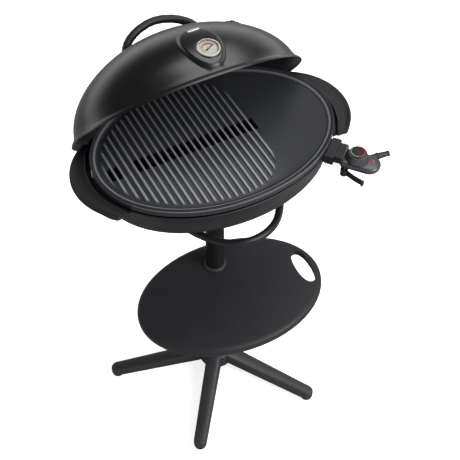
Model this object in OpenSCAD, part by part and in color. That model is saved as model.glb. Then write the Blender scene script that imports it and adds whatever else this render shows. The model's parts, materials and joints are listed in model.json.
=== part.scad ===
// Electric standing grill with an oval plate, a hinged dome lid, a side table and a five-legged base.
// Millimetres. X runs to the grill's right, Y to its back, Z up; the origin is on the floor, under the pole.
// The lid is drawn open, resting on the stop of its hinge.

/* [Grill plate] */
// Length of the plate over its lip
plate_l = 560; // [480:5:620]
// Width of the plate over its lip
plate_w = 410; // [360:5:460]
// Squareness of the oval, 2 is an ellipse
plate_power = 2.03; // [2:0.01:2.4]
// Height of the lip above the floor
plate_top = 884; // [800:1:950]
// Width of the sloping lip
lip_w = 12; // [8:0.5:18]
// Depth of the cooking floor below the lip
floor_drop = 8; // [6:0.5:14]
// Thickness of the cooking floor
plate_t = 5; // [3:0.5:6]
// Height of the skirt under the lip
skirt_h = 19; // [16:0.5:26]
// Thickness of the skirt
skirt_t = 3; // [2:0.5:4]

/* [Ribs and drain slots] */
// Distance between two ribs
rib_pitch = 15.5; // [13:0.5:20]
// Width of a rib at its foot
rib_w = 8.5; // [6:0.5:10]
// Height of a rib
rib_h = 3.6; // [2:0.2:5]
// Centre of the groove with the last slot
slot_last_x = 95; // [60:1:120]
// Number of drain slots in the long row
slot_count = 19; // [10:1:19]
// Length of a drain slot
slot_l = 38; // [20:1:50]
// Width of a drain slot
slot_w = 6; // [4:0.5:7]
// Right end of the ribbed field
field_right = 101; // [80:1:140]

/* [Heating element] */
// Diameter of the heating tube
element_d = 8; // [6:0.5:9]
// Bend radius of the two ends of the loop
element_r = 112; // [90:1:120]
// Distance between the centres of the two ends
element_span = 170; // [120:5:190]

/* [Bowl] */
// Open height between the skirt and the bowl's rim
bowl_gap = 6; // [4:0.5:10]
// Depth of the bowl
bowl_h = 74; // [60:1:85]
// Distance that the wall leans in from rim to floor
bowl_lean = 14; // [8:1:30]
// Radius of the turn between wall and floor
bowl_turn = 26; // [15:1:40]
// Sheet thickness of the bowl
bowl_t = 2.4; // [1.5:0.1:4]
// Radius of the four posts that carry the plate
post_r = 6; // [4:0.5:9]

/* [Drip tray] */
// Length of the drip tray
tray_l = 300; // [200:5:340]
// Width of the drip tray
tray_w = 190; // [120:5:210]
// Height of the drip tray
tray_h = 22; // [12:1:30]
// Sheet thickness of the drip tray
tray_t = 1.2; // [0.8:0.1:2]

/* [Side handles] */
// Reach of a handle beyond the end of the plate
handle_reach = 50; // [35:1:65]
// Radius of the handle's outer edge
handle_r = 140; // [130:1:160]
// Half the distance between the two tips of a handle
handle_half = 108; // [90:1:112]
// Width of the channel between lip and handle
channel_w = 10; // [7:0.5:13]
// Thickness of the handle at its inner edge
handle_t = 22; // [16:1:26]
// Thickness of the handle at its outer edge
handle_edge = 6; // [4:0.5:9]
// Depth of the dish in the handle's top
handle_dish = 2.5; // [0:0.5:4]

/* [Lid] */
// Length of the lid over its rim
lid_l = 566; // [486:2:626]
// Width of the lid over its rim
lid_w = 426; // [376:2:476]
// Length of the dome at its foot
dome_l = 544; // [464:2:604]
// Width of the dome at its foot
dome_w = 410; // [360:2:460]
// Height of the dome above the rim
dome_h = 174; // [140:1:200]
// Fullness of the dome, 2 is an ellipsoid
dome_power = 1.91; // [1.8:0.01:2.3]
// Height of the flared band at the rim
band_h = 12.5; // [8:0.5:16]
// Sheet thickness of the lid
lid_t = 1.6; // [1.2:0.1:3]
// Gap between the closed lid and the plate's lip
lid_gap = 1; // [0.5:0.5:3]
// Angle of the open lid
lid_open = 55.6; // [40:0.1:58]

/* [Lid hinge] */
// Distance of the hinge axis behind the pole
hinge_y = 46; // [40:1:52]
// Depth of the hinge axis under the closed rim
hinge_drop = 123.7; // [121:0.1:130]
// Distance of each arm from the middle
arm_x = 80; // [70:1:90]
// Width of an arm
arm_w = 18; // [14:1:22]
// Thickness of an arm
arm_t = 6; // [5:0.5:7]
// Diameter of the hinge rod
rod_d = 8; // [6:0.5:9]

/* [Lid handle] */
// Distance between the two feet of the bow, over the outside
bow_l = 198; // [160:1:220]
// Height of the bow above the rim plane
bow_top = 217; // [205:1:235]
// Thickness of the bow
bow_d = 19; // [14:0.5:22]

/* [Thermometer] */
// Sideways place of the thermometer
gauge_x = 24; // [0:1:30]
// Height of the thermometer above the rim
gauge_up = 63; // [55:1:70]
// Outer diameter of the steel bezel
gauge_d = 52; // [44:1:56]
// Height of the bezel above the boss
gauge_h = 7; // [5:0.5:10]
// Thickness of the raised boss on the dome
boss_t = 7; // [4:0.5:9]
// Width of the raised boss
boss_w = 90; // [80:1:100]
// Height of the raised boss along the dome
boss_h = 132; // [120:1:140]

/* [Vent] */
// Diameter of the turning vent plate
vent_d = 40; // [34:1:46]
// Sideways place of the vent
vent_x = 158; // [120:1:170]
// Forward place of the vent
vent_y = 35; // [10:1:60]

/* [Thermostat plug] */
// Place of the socket round the plate's rim, degrees from the right end
socket_at = -41; // [-50:1:-35]
// Width of the socket
socket_w = 60; // [54:1:66]
// Height of the socket
socket_h = 22; // [20:0.5:26]
// Length of the socket outside the plate
socket_l = 22; // [18:1:28]
// Width of the plug's body
plug_w = 51; // [46:1:56]
// Length of the plug's body with its collar
plug_l = 99; // [90:1:110]
// Height of the plug's body
plug_h = 20; // [18:1:26]
// Length of the temperature probe
probe_l = 54; // [40:1:60]
// Lower diameter of the control knob
knob_d = 50; // [44:1:52]
// Upper diameter of the control knob
knob_top_d = 39; // [34:1:41]
// Height of the control knob
knob_h = 18; // [14:0.5:22]

/* [Pole] */
// Diameter of the pole
pole_d = 46; // [40:1:50]
// Wall of the pole
pole_t = 1.8; // [1.2:0.1:3]

/* [Front rail] */
// Diameter of the rail's tube
rail_d = 18; // [14:1:22]
// Half the width of the rail
rail_half = 137; // [120:1:150]
// Reach of the rail in front of the pole
rail_reach = 195; // [180:1:220]
// Height of the rail above the floor
rail_z = 733; // [700:1:735]

/* [Side table] */
// Length of the table
table_l = 474; // [400:2:520]
// Width of the table
table_w = 331; // [300:2:360]
// Squareness of the table's oval
table_power = 2; // [2:0.01:2.6]
// Turn of the table about the pole
table_turn = -3.8; // [-8:0.1:8]
// Distance of the table's middle in front of the pole
table_front = 95; // [85:1:105]
// Height of the table top above the floor
table_z = 430; // [380:1:480]
// Thickness of the table's edge
table_h = 21; // [18:1:30]
// Thickness of the table's skin
table_skin = 3.5; // [2.5:0.5:5]
// Length of the hand hole
grip_l = 106; // [80:1:110]
// Width of the hand hole
grip_w = 41; // [30:1:48]

/* [Star base] */
// Distance from the pole to the round end of a leg
leg_r = 276; // [240:1:300]
// Width of a leg at its end
leg_end_w = 34; // [28:1:40]
// Width of a leg at the hub
leg_root_w = 42; // [36:1:48]
// Height of a leg's end
leg_end_h = 26; // [20:1:30]
// Height of the top of a leg at the hub
leg_root_top = 68; // [60:1:76]
// Height of a rubber foot
foot_h = 9; // [6:0.5:12]

/* [Hidden] */

// clearances
seat = 0.3;
running = 0.06;
loose = 0.5;
// sides of the ovals and of round faceted shapes
N = 60;
$fn = 48;

// ---- grill plate levels and ovals
plate_a = plate_l / 2;
plate_b = plate_w / 2;
floor_z = plate_top - floor_drop;
under_z = floor_z - plate_t;
skirt_z = plate_top - skirt_h;
rim_z = skirt_z - bowl_gap;
bowl_bottom = rim_z - bowl_h;

// ---- lid frame: the rim's centre when closed, and the hinge axis
lid_z = plate_top + lid_gap;
hinge_z = lid_z - hinge_drop;

// point of a superellipse
function power(c, n) = sign(c) * pow(abs(c), 2 / n);
function oval(a, b, n, t) = [a * power(cos(t), n), b * power(sin(t), n)];
function ring(a, b, n, z, count = N) =
    [for (i = [0 : count - 1]) let (p = oval(a, b, n, i * 360 / count)) [p[0], p[1], z]];
// an oval ring drawn in from the plate's outline
function plate_ring(inset, z) = ring(plate_a - inset, plate_b - inset, plate_power, z);

// closes a stack of rings into one solid, flat at its first and last ring
module skin(rings) {
    n = len(rings[0]);
    m = len(rings);
    sides = [for (i = [0 : m - 2], j = [0 : n - 1]) let (k = (j + 1) % n)
        each [[i * n + j, (i + 1) * n + j, (i + 1) * n + k], [i * n + j, (i + 1) * n + k, i * n + k]]];
    bottom = [for (j = [0 : n - 1]) j];
    top = [for (j = [n - 1 : -1 : 0]) (m - 1) * n + j];
    polyhedron(points = [for (r = rings) each r], faces = concat(sides, [bottom], [top]));
}

module tube(r, wall, h) {
    difference() {
        cylinder(r = r, h = h);
        translate([0, 0, -1]) cylinder(r = r - wall, h = h + 2);
    }
}

// points on an arc, level with the floor
function arc(c, r, from, to, steps) = [for (i = [0 : steps]) let (t = from + (to - from) * i / steps)
    [c[0] + r * cos(t), c[1] + r * sin(t), c[2]]];

// a bent round bar through a list of points
module bent_bar(path, r, sides) {
    n = len(path);
    skin([for (i = [0 : n - 1])
        let (v = path[min(i + 1, n - 1)] - path[max(i - 1, 0)], d = v / norm(v),
            side = [-d[1], d[0], 0] / norm([d[0], d[1]]), up = cross(d, side))
        [for (k = [0 : sides - 1]) path[i] + r * (side * cos(k * 360 / sides) + up * sin(k * 360 / sides))]]);
}

// ================= star base =================
hub_r = 46;
hub_top = 96;
leg_angles = [90, 18, 162, -54, -126];
socket_floor = 30;
bolt_r = 5;
leg_bottom = foot_h - 1;

module leg_end(r, top, bottom, edge) {
    rotate_extrude($fn = 24) polygon([[0, bottom], [r - edge / 2, bottom], [r, bottom + edge / 2],
        [r, top - edge], [r - edge * 0.3, top - edge * 0.3], [r - edge, top], [0, top]]);
}

module leg() {
    hull() {
        translate([30, 0, 0]) leg_end(leg_root_w / 2, leg_root_top, leg_root_top - 32, 7);
        translate([leg_r, 0, 0]) leg_end(leg_end_w / 2, leg_bottom + leg_end_h, leg_bottom, 7);
    }
}

module star_base() {
    color("#242527") difference() {
        union() {
            for (a = leg_angles) rotate([0, 0, a]) leg();
            rotate_extrude() polygon([[0, 22], [hub_r - 4, 22], [hub_r, 26], [hub_r, 66],
                [hub_r - 6, 72], [pole_d / 2 + 9, 78], [pole_d / 2 + 6, hub_top - 3],
                [pole_d / 2 + 4, hub_top], [0, hub_top]]);
        }
        translate([0, 0, socket_floor]) cylinder(r = pole_d / 2 + running, h = hub_top);
        translate([0, 0, 10]) cylinder(r = bolt_r + 0.5, h = 30);
        translate([0, 0, 10]) cylinder(r = 14, h = 16);
    }
}

module foot(a) {
    color("#1b1c1d") rotate([0, 0, a]) translate([leg_r, 0, 0]) rotate_extrude() polygon([[0, 0],
        [9, 0], [12, 1], [leg_end_w / 2 - 2, 4], [leg_end_w / 2 - 1.5, leg_bottom], [0, leg_bottom]]);
}

module base_bolt() {
    color("#8c8f92") {
        translate([0, 0, 18]) cylinder(r = 9, h = 6.5, $fn = 6);
        translate([0, 0, 24.5]) cylinder(r = 13, h = 1.5);
        translate([0, 0, 24.5]) cylinder(r = bolt_r, h = socket_floor + pole_plug_h - 24);
    }
}

// ================= pole =================
// the lower tube closes with a threaded plug that the base bolt holds
pole_plug_h = 12;
lower_top = table_z - table_h + 6;
coupler_h = 110;
pole_top = rail_z - 18;

module lower_pole() {
    color("#1f2022") difference() {
        translate([0, 0, socket_floor]) union() {
            tube(pole_d / 2, pole_t, lower_top - socket_floor);
            cylinder(r = pole_d / 2 - 0.5, h = pole_plug_h);
        }
        translate([0, 0, socket_floor - 1]) cylinder(r = bolt_r + running, h = pole_plug_h + 2);
    }
}

module pole_coupler() {
    color("#6e7174") translate([0, 0, lower_top - coupler_h / 2])
        tube(pole_d / 2 - pole_t - running, 2, coupler_h);
}

module upper_pole() {
    color("#1f2022") translate([0, 0, lower_top]) tube(pole_d / 2, pole_t, pole_top - lower_top);
}

// ================= side table =================
table_under = table_z - table_h;
flange_r = 58;
flange_h = 10;
screw_ring = 44;
screw_head = 3.2;

module at_table() {
    rotate([0, 0, table_turn]) translate([0, -table_front, 0]) children();
}

function table_ring(inset, z) = ring(table_l / 2 - inset, table_w / 2 - inset, table_power, z);

module grip_oval(grow, h) {
    linear_extrude(height = h)
        polygon([for (t = [0 : 10 : 350]) oval(grip_w / 2 + grow, grip_l / 2 + grow, 2.2, t)]);
}

grip_x = table_l / 2 - 38;
rib_t = 3;
rib_low = table_under + 7;
rib_high = table_z - 1;
screw_low = flange_h - 5 - seat - screw_head;
screw_high = table_h - table_skin - 1;

module side_table() {
    color("#2a2b2d") difference() {
        union() {
            at_table() {
                skin([table_ring(22, table_z - table_skin), table_ring(7, table_z - table_skin - 4),
                    table_ring(4, table_z - 11), table_ring(3.5, table_under + 1),
                    table_ring(2, table_under), table_ring(0.5, table_under + 2),
                    table_ring(0, table_z - 14), table_ring(0.8, table_z - 8),
                    table_ring(3.5, table_z - 3.5), table_ring(8, table_z - 1), table_ring(14, table_z),
                    table_ring(18, table_z)]);
                // wall round the hand hole
                translate([grip_x, 0, table_under + 3]) difference() {
                    grip_oval(3, table_h - 3 - 2);
                    translate([0, 0, -1]) grip_oval(-0.01, table_h);
                }
                // stiffening ribs
                for (x = [-table_l / 4, table_l / 4]) translate([x - rib_t / 2, -table_w / 3, rib_low])
                    cube([rib_t, table_w * 0.6, rib_high - rib_low]);
                translate([-table_l * 0.4, -rib_t / 2, rib_low])
                    cube([table_l * 0.4 + grip_x - grip_w / 2 - 4, rib_t, rib_high - rib_low]);
            }
            // boss round the pole
            translate([0, 0, table_under + flange_h])
                cylinder(r = flange_r - 6, h = table_h - flange_h - 1);
        }
        translate([0, 0, table_under - 1]) cylinder(r = pole_d / 2 + loose, h = table_h + 2);
        at_table() translate([grip_x, 0, table_under - 1]) grip_oval(0, table_h + 2);
        for (a = [45 : 90 : 315]) rotate([0, 0, a]) translate([screw_ring, 0, table_under + flange_h - 1])
            cylinder(r = 1.9, h = screw_high + 1 - flange_h);
    }
}

module table_flange() {
    color("#3a3b3d") difference() {
        translate([0, 0, table_under]) union() {
            translate([0, 0, flange_h - 5 - seat]) cylinder(r = flange_r - 6, h = 5);
            translate([0, 0, -22]) cylinder(r = pole_d / 2 + 7, h = 22 + flange_h - 1);
        }
        translate([0, 0, table_under - 30]) cylinder(r = pole_d / 2 + running, h = 60);
        for (a = [45 : 90 : 315]) rotate([0, 0, a]) translate([screw_ring, 0, table_under])
            cylinder(r = 2.2, h = 20);
        translate([0, -pole_d / 2, table_under - 12]) rotate([90, 0, 0])
            cylinder(r = 2.6, h = 30, center = true);
    }
}

module table_screws() {
    color("#9a9da0") {
        for (a = [45 : 90 : 315]) rotate([0, 0, a]) translate([screw_ring, 0, table_under + screw_low]) {
            cylinder(r = 4, h = screw_head);
            cylinder(r = 1.8, h = screw_high - 1 - screw_low);
        }
        translate([0, -pole_d / 2 - 8, table_under - 12]) rotate([90, 0, 0]) {
            translate([0, 0, -7.5]) cylinder(r = 2.5, h = 8);
            cylinder(r = 4.5, h = 4, $fn = 6);
        }
    }
}

module table_collar() {
    color("#1b1c1d") translate([0, 0, table_z + seat]) difference() {
        rotate_extrude() polygon([[pole_d / 2 + running, 0], [pole_d / 2 + 5, 0], [pole_d / 2 + 5, 3],
            [pole_d / 2 + 3, 6], [pole_d / 2 + running, 7]]);
    }
}

// ================= carrier, rail and hinge under the bowl =================
carrier_r = pole_d / 2 + 9;
carrier_flange_r = 54;
carrier_top = bowl_bottom - seat;
carrier_low = pole_top - 40;
bolt_ring = 42;
rail_r = rail_d / 2;
rail_turn = 26;
rail_back = 26;

module bowl_carrier() {
    color("#27282a") difference() {
        union() {
            rotate_extrude() polygon([[0, carrier_low], [carrier_r - 4, carrier_low],
                [carrier_r, carrier_low + 6], [carrier_r, carrier_top - 24],
                [carrier_flange_r, carrier_top - 7], [carrier_flange_r, carrier_top], [0, carrier_top]]);
            for (s = [-1, 1]) translate([0, rail_back, rail_z]) rotate([0, s * 90, 0])
                cylinder(r = rail_r + 4, h = carrier_r + 6);
        }
        translate([0, 0, carrier_low - 1])
            cylinder(r = pole_d / 2 + running, h = pole_top - carrier_low + 1);
        for (s = [-1, 1]) translate([s * (carrier_r - 14), rail_back, rail_z]) rotate([0, s * 90, 0])
            cylinder(r = rail_r + running, h = 30);
        for (a = [0 : 90 : 270]) rotate([0, 0, a]) translate([bolt_ring, 0, carrier_top - 30]) {
            cylinder(r = 3.2, h = 31);
            cylinder(r = 7, h = 20);
        }
    }
}

// bolts from the inside of the bowl, with a low round head, and a nut below
module hung_bolt(r, clamp) {
    translate([0, 0, bowl_bottom + bowl_t + seat]) cylinder(r = 1.8 * r, h = bolt_head);
    translate([0, 0, carrier_top - clamp - 8]) cylinder(r = r, h = 8 + clamp + bowl_t + 2 * seat + 1);
    translate([0, 0, carrier_top - clamp - seat - 4]) cylinder(r = 1.8 * r, h = 4, $fn = 6);
}

bolt_head = 3;

module carrier_bolts() {
    color("#9a9da0") {
        for (a = [0 : 90 : 270]) rotate([0, 0, a]) translate([bolt_ring, 0, 0]) hung_bolt(3, 10);
        for (s = [-1, 1], y = bracket_bolt_ys) translate([s * arm_x, y, 0]) hung_bolt(2.5, 4);
    }
}

// outline of the rail: a small front arc between two long side arcs, then a turn in to the carrier
rail_front_r = 104;
rail_side_r = (pow(rail_half, 2) + pow(rail_reach, 2) - 2 * rail_reach * rail_front_r)
    / (2 * (rail_half - rail_front_r));
rail_side_x = rail_side_r - rail_half;
rail_front_y = rail_reach - rail_front_r;
rail_split = atan2(rail_front_y, rail_side_x);

rail_half_path = concat(
    [[carrier_r - 13, rail_back, rail_z], [rail_half - rail_turn - 8, rail_back, rail_z]],
    arc([rail_half - rail_turn, 0, rail_z], rail_turn, 90, 0, 6),
    arc([-rail_side_x, 0, rail_z], rail_side_r, -rail_split / 8, -rail_split, 7),
    arc([0, -rail_front_y, rail_z], rail_front_r, -rail_split - (90 - rail_split) / 7, -90, 6));

module front_rail() {
    last = len(rail_half_path) - 1;
    color("#1c1d1f") bent_bar(concat(rail_half_path,
        [for (i = [last - 1 : -1 : 0]) let (p = rail_half_path[i]) [-p[0], p[1], p[2]]]), rail_r, 12);
}

eye_r = 9;
stop_r = 4;
stop_along = 24;
lug_t = 3;
lug_gap = 1;
// the stop bar lies against the front face of the open arms
stop_dir = [cos(lid_open), -sin(lid_open)];
stop_off = arm_t / 2 + stop_r + seat;
stop_y = hinge_y + stop_along * stop_dir[0] - stop_off * sin(lid_open);
stop_z = hinge_z + stop_along * stop_dir[1] - stop_off * cos(lid_open);
bracket_bolt_ys = [hinge_y - 4, hinge_y + 16];
lug_front = min(stop_y, hinge_y) - 7;
lug_back = max(stop_y, hinge_y) + 9;

module lug() {
    rotate([90, 0, 90]) linear_extrude(height = lug_t) polygon([[lug_front - 4, carrier_top - 4],
        [lug_front - 4, hinge_z - 4], [lug_front, stop_z - 4], [lug_front + 5, stop_z - 7],
        [stop_y + 7, stop_z - 7], [lug_back, hinge_z - 8], [lug_back + 3, carrier_top - 4]]);
}

module hinge_brackets() {
    color("#3a3b3d") difference() {
        for (s = [-1, 1]) translate([s * arm_x, 0, 0]) {
            translate([-arm_w / 2 - lug_gap - lug_t, lug_front - 4, carrier_top - 4])
                cube([arm_w + 2 * lug_gap + 2 * lug_t, lug_back - lug_front + 7, 4]);
            translate([-arm_w / 2 - lug_gap - lug_t, 0, 0]) lug();
            translate([arm_w / 2 + lug_gap, 0, 0]) lug();
        }
        translate([-rod_half, hinge_y, hinge_z]) rotate([0, 90, 0])
            cylinder(r = rod_d / 2 + running, h = 2 * rod_half);
        translate([-rod_half, stop_y, stop_z]) rotate([0, 90, 0])
            cylinder(r = stop_r + running, h = 2 * rod_half);
        for (s = [-1, 1], y = bracket_bolt_ys) translate([s * arm_x, y, carrier_top - 10])
            cylinder(r = 2.8, h = 20);
    }
}

rod_half = arm_x + arm_w / 2 + lug_gap + lug_t + 7;

module hinge_rod() {
    color("#a7abae") translate([-rod_half, hinge_y, hinge_z]) rotate([0, 90, 0])
        cylinder(r = rod_d / 2, h = 2 * rod_half);
}

module rod_caps() {
    color("#1b1c1d") for (s = [-1, 1]) translate([s * (rod_half - 5), hinge_y, hinge_z])
        rotate([0, s * 90, 0]) rotate_extrude() polygon([[rod_d / 2 + running, 0],
            [rod_d / 2 + 3.5, 0], [rod_d / 2 + 3.5, 4], [rod_d / 2 + 2, 6.5], [0, 7.2], [0, 5.2],
            [rod_d / 2 + running, 5.2]]);
}

module stop_bar() {
    color("#1b1c1d") translate([-rod_half + 3, stop_y, stop_z]) rotate([0, 90, 0])
        cylinder(r = stop_r, h = 2 * rod_half - 6);
}

// ================= bowl =================
// place of a point just outside the plate's rim at the socket, and the outline's direction there
socket_p = [plate_a * cos(socket_at), plate_b * sin(socket_at)];
socket_turn = atan2(socket_p[1] / pow(plate_b, 2), socket_p[0] / pow(plate_a, 2));
socket_z = skirt_z - 8;

module at_socket() {
    translate([socket_p[0], socket_p[1], socket_z]) rotate([0, 0, socket_turn]) children();
}

// how far the plate's own outline bulges past that point
socket_q = plate_power / (plate_power - 1);
socket_out = pow(pow(plate_a * cos(socket_turn), socket_q) + pow(plate_b * -sin(socket_turn), socket_q),
    1 / socket_q) - socket_p[0] * cos(socket_turn) - socket_p[1] * sin(socket_turn) + seat;

function bowl_ring(inset, z) = plate_ring(1 + inset, z);
post_x = 0.45 * plate_a;
post_y = 0.62 * plate_b;

module bowl() {
    lean = function (z) bowl_lean * (rim_z - z) / bowl_h;
    turn_z = bowl_bottom + bowl_turn;
    color("#2c2d2f") difference() {
        union() {
            skin(concat(
                [for (a = [90 : -18 : 0]) let (z = turn_z - bowl_turn * sin(a))
                    bowl_ring(lean(turn_z) + bowl_turn * (1 - cos(a)), z)],
                [bowl_ring(2, rim_z - 8), bowl_ring(0, rim_z - 5), bowl_ring(0, rim_z - 1),
                 bowl_ring(1, rim_z), bowl_ring(bowl_t, rim_z - 0.5), bowl_ring(bowl_t + 1.5, rim_z - 8)],
                [for (a = [0 : 18 : 90]) let (r = bowl_turn - bowl_t, z = turn_z - r * sin(a))
                    bowl_ring(lean(turn_z) + bowl_t + r * (1 - cos(a)), z)]));
            for (x = [-1, 1], y = [-1, 1]) translate([x * post_x, y * post_y, bowl_bottom + bowl_t / 2])
                cylinder(r = post_r, h = under_z - seat - bowl_bottom - bowl_t / 2);
        }
        // notch that the socket drops into, and the bolt holes in the floor
        at_socket() translate([-30, -socket_w / 2 - 2, -socket_h / 2 - 2]) cube([60, socket_w + 4, 60]);
        for (a = [0 : 90 : 270]) rotate([0, 0, a]) translate([bolt_ring, 0, bowl_bottom - 1])
            cylinder(r = 3.3, h = bowl_t + 2, $fn = 16);
        for (s = [-1, 1], y = bracket_bolt_ys) translate([s * arm_x, y, bowl_bottom - 1])
            cylinder(r = 2.8, h = bowl_t + 2, $fn = 16);
        for (m = [0, 1], s = [-1, 1]) mirror([m, 0, 0]) handle_screw_at(s)
            cylinder(r = 2.3, h = 30, $fn = 16);
    }
}

module drip_tray() {
    z0 = bowl_bottom + bowl_t + seat + bolt_head + seat;
    tray = function (inset, z) ring(tray_l / 2 - inset, tray_w / 2 - inset, 2.6, z, 48);
    color("#b9bcbf") difference() {
        skin([tray(10, z0), tray(2, z0 + tray_h - 2), tray(-3, z0 + tray_h), tray(-3, z0 + tray_h + 1),
            tray(3.2, z0 + tray_h + 0.6), tray(11, z0 + tray_t)]);
    }
}

// ================= side handles =================
handle_top = rim_z + 6;
handle_c = plate_a + handle_reach - handle_r;
inner_a = plate_a + channel_w;
inner_b = plate_b + channel_w;

// one upright slice through the right-hand handle at a share t of its length, -1 front, 1 back
function handle_slice(t) =
    let (y = handle_half * sin(90 * t),
        yi = (handle_half - 4) * sin(90 * t),
        xo = handle_c + sqrt(pow(handle_r, 2) - y * y),
        xi = inner_a * pow(1 - pow(abs(yi) / inner_b, plate_power), 1 / plate_power),
        at = function (s, z) [xi + (xo - xi) * s, yi + (y - yi) * s, z],
        low = handle_top - handle_t,
        w = max(xo - xi, 1))
    [at(0, low), at(0.25, low + 1), at(0.55, low + (handle_t - handle_edge) * 0.6),
     at(1 - 2 / w, handle_top - handle_edge), at(1, handle_top - handle_edge + 2), at(1, handle_top - 2),
     at(1 - 2 / w, handle_top), at(1 - 6 / w, handle_top - 0.2), at(0.5, handle_top - handle_dish),
     at(6 / w, handle_top - 0.4), at(2 / w, handle_top), at(0, handle_top - 1)];

module handle_body() {
    difference() {
        union() {
            skin([for (i = [12 : -1 : -12]) handle_slice(i / 12)]);
            for (s = [-1, 1]) handle_foot(s);
        }
        for (s = [-1, 1]) handle_screw_at(s) translate([0, 0, -10]) cylinder(r = 2.2, h = 40);
    }
}

// feet under the two tips, which reach in to the bowl's wall
foot_y = handle_half - 17;
foot_half = 9;
foot_low = handle_top - handle_t - 4;
foot_top = handle_top - 8;
foot_out = handle_c + sqrt(pow(handle_r, 2) - pow(foot_y, 2)) - 14;
screw_z = foot_low + 8;

// the bowl's outer face at a place and a height
function wall_inset(z) = z > rim_z - 5 ? 1 : z > rim_z - 8 ? 1 + (rim_z - 5 - z) * 2 / 3
    : 3 + (rim_z - 8 - z) * (bowl_lean * 0.65 - 2) / (bowl_h - 8 - bowl_turn);
function wall_x(y, z) = (plate_a - wall_inset(z))
    * pow(1 - pow(abs(y) / (plate_b - wall_inset(z)), plate_power), 1 / plate_power);

module handle_foot(s) {
    mirror([0, s < 0 ? 1 : 0, 0]) skin([for (z = [foot_low, rim_z - 8, rim_z - 5, foot_top]) concat(
        [for (y = [foot_y + foot_half, foot_y, foot_y - foot_half]) [wall_x(y, z) + 2 * seat, y, z]],
        [[foot_out, foot_y - foot_half, z], [foot_out, foot_y + foot_half, z]])]);
}

module handle_screw_at(s) {
    translate([wall_x(foot_y, screw_z) - 12, s * foot_y, screw_z]) rotate([0, 90, 0]) children();
}

module right_handle() {
    color("#232426") handle_body();
}

module left_handle() {
    color("#232426") mirror([1, 0, 0]) handle_body();
}

module handle_screws() {
    color("#9a9da0") for (m = [0, 1], s = [-1, 1]) mirror([m, 0, 0]) handle_screw_at(s)
        translate([0, 0, 2]) {
            cylinder(r = 4, h = 3);
            cylinder(r = 2, h = 28);
        }
}

// ================= grill plate =================
field_in = lip_w + 7;
field_mid = (field_right - (plate_a - field_in)) / 2;
field_a = field_right - field_mid;
field_b = plate_b - field_in + 2;

// edge of the ribbed field: the plate's oval, cut off on the right by a squarer one
function field_r(t, inset) =
    let (c = cos(t), s = sin(t), a = plate_a - field_in - inset, b = plate_b - field_in - inset,
        square_r = pow(pow(abs(c) / (field_a - inset), 3.7) + pow(abs(s) / (field_b - inset), 3.7), -1 / 3.7),
        qa = c * c / (a * a) + s * s / (b * b),
        qb = 2 * field_mid * c / (a * a),
        qc = field_mid * field_mid / (a * a) - 1,
        oval_r = (-qb + sqrt(qb * qb - 4 * qa * qc)) / (2 * qa))
    min(square_r, oval_r);
function field_ring(inset, z) = [for (i = [0 : 47]) let (t = i * 7.5, r = field_r(t, inset))
    [field_mid + r * cos(t), r * sin(t), z]];

slot_xs = concat([for (i = [0 : slot_count - 1]) slot_last_x - i * rib_pitch],
    [for (i = [slot_count + 2, slot_count + 3]) slot_last_x - i * rib_pitch]);
// level of the grooves between the ribs
valley_z = floor_z + 0.15;
first_rib = ceil((plate_a - field_in + slot_last_x) / rib_pitch);

module ribs() {
    intersection() {
        rotate([90, 0, 0]) linear_extrude(height = plate_w, center = true) polygon(concat(
            [for (i = [first_rib : -1 : 0]) let (x = slot_last_x + rib_pitch / 2 - i * rib_pitch)
                each [[x - rib_w / 2, valley_z], [x - rib_w * 0.28, floor_z + rib_h * 0.8],
                    [x - rib_w * 0.12, floor_z + rib_h], [x + rib_w * 0.12, floor_z + rib_h],
                    [x + rib_w * 0.28, floor_z + rib_h * 0.8], [x + rib_w / 2, valley_z]]],
            [[field_right + 20, valley_z], [field_right + 20, floor_z - plate_t / 2],
             [-plate_a, floor_z - plate_t / 2], [-plate_a, valley_z]]));
        skin([field_ring(0, floor_z - plate_t), field_ring(0, floor_z),
            field_ring(9, floor_z + rib_h + 0.1)]);
    }
}

module grill_plate() {
    color("#3b3c3f") difference() {
        union() {
            skin([plate_ring(lip_w + 10, under_z), plate_ring(skirt_t + 3, under_z),
                plate_ring(skirt_t + 0.6, under_z - 2), plate_ring(skirt_t, skirt_z + 0.5),
                plate_ring(skirt_t - 0.5, skirt_z), plate_ring(0.9, skirt_z), plate_ring(0.4, skirt_z + 0.8),
                plate_ring(0, plate_top - 3), plate_ring(0, plate_top - 0.8), plate_ring(0.8, plate_top),
                plate_ring(2.2, plate_top - 0.2), plate_ring(lip_w, floor_z + 2),
                plate_ring(lip_w + 2, floor_z + 0.5), plate_ring(lip_w + 5, floor_z)]);
            ribs();
        }
        for (x = slot_xs) translate([x - slot_w / 2, -slot_l / 2 - 3.5, under_z - 1])
            cube([slot_w, slot_l, plate_t + 2]);
    }
}

element_z = under_z - element_d / 2 - seat;
element_x = element_span / 2;
lead_off = 14;
lead_r = 16;
lead_dir = atan2(socket_p[1], socket_p[0] - element_x);
lead_turn = asin((lead_off + lead_r) / (element_r + lead_r));

// a point given in the socket's own directions
function from_socket(x, y, z) = [socket_p[0] + x * cos(socket_turn) - y * sin(socket_turn),
    socket_p[1] + x * sin(socket_turn) + y * cos(socket_turn), socket_z + z];

// one lead, from the socket to the place where it has turned into the loop
function lead_path(s) = let (t = lead_dir + s * lead_turn, reach = element_r + lead_r,
        c = [element_x + reach * cos(t), reach * sin(t), element_z])
    concat([from_socket(-block_in - 2 * seat, s * lead_off, 0), from_socket(-block_in - 8, s * lead_off, 1)],
        [for (i = [0 : 4]) let (a = lead_dir - s * 90 - s * (90 - lead_turn) * i / 4)
            [c[0] + lead_r * cos(a), c[1] + lead_r * sin(a), element_z]]);

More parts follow.
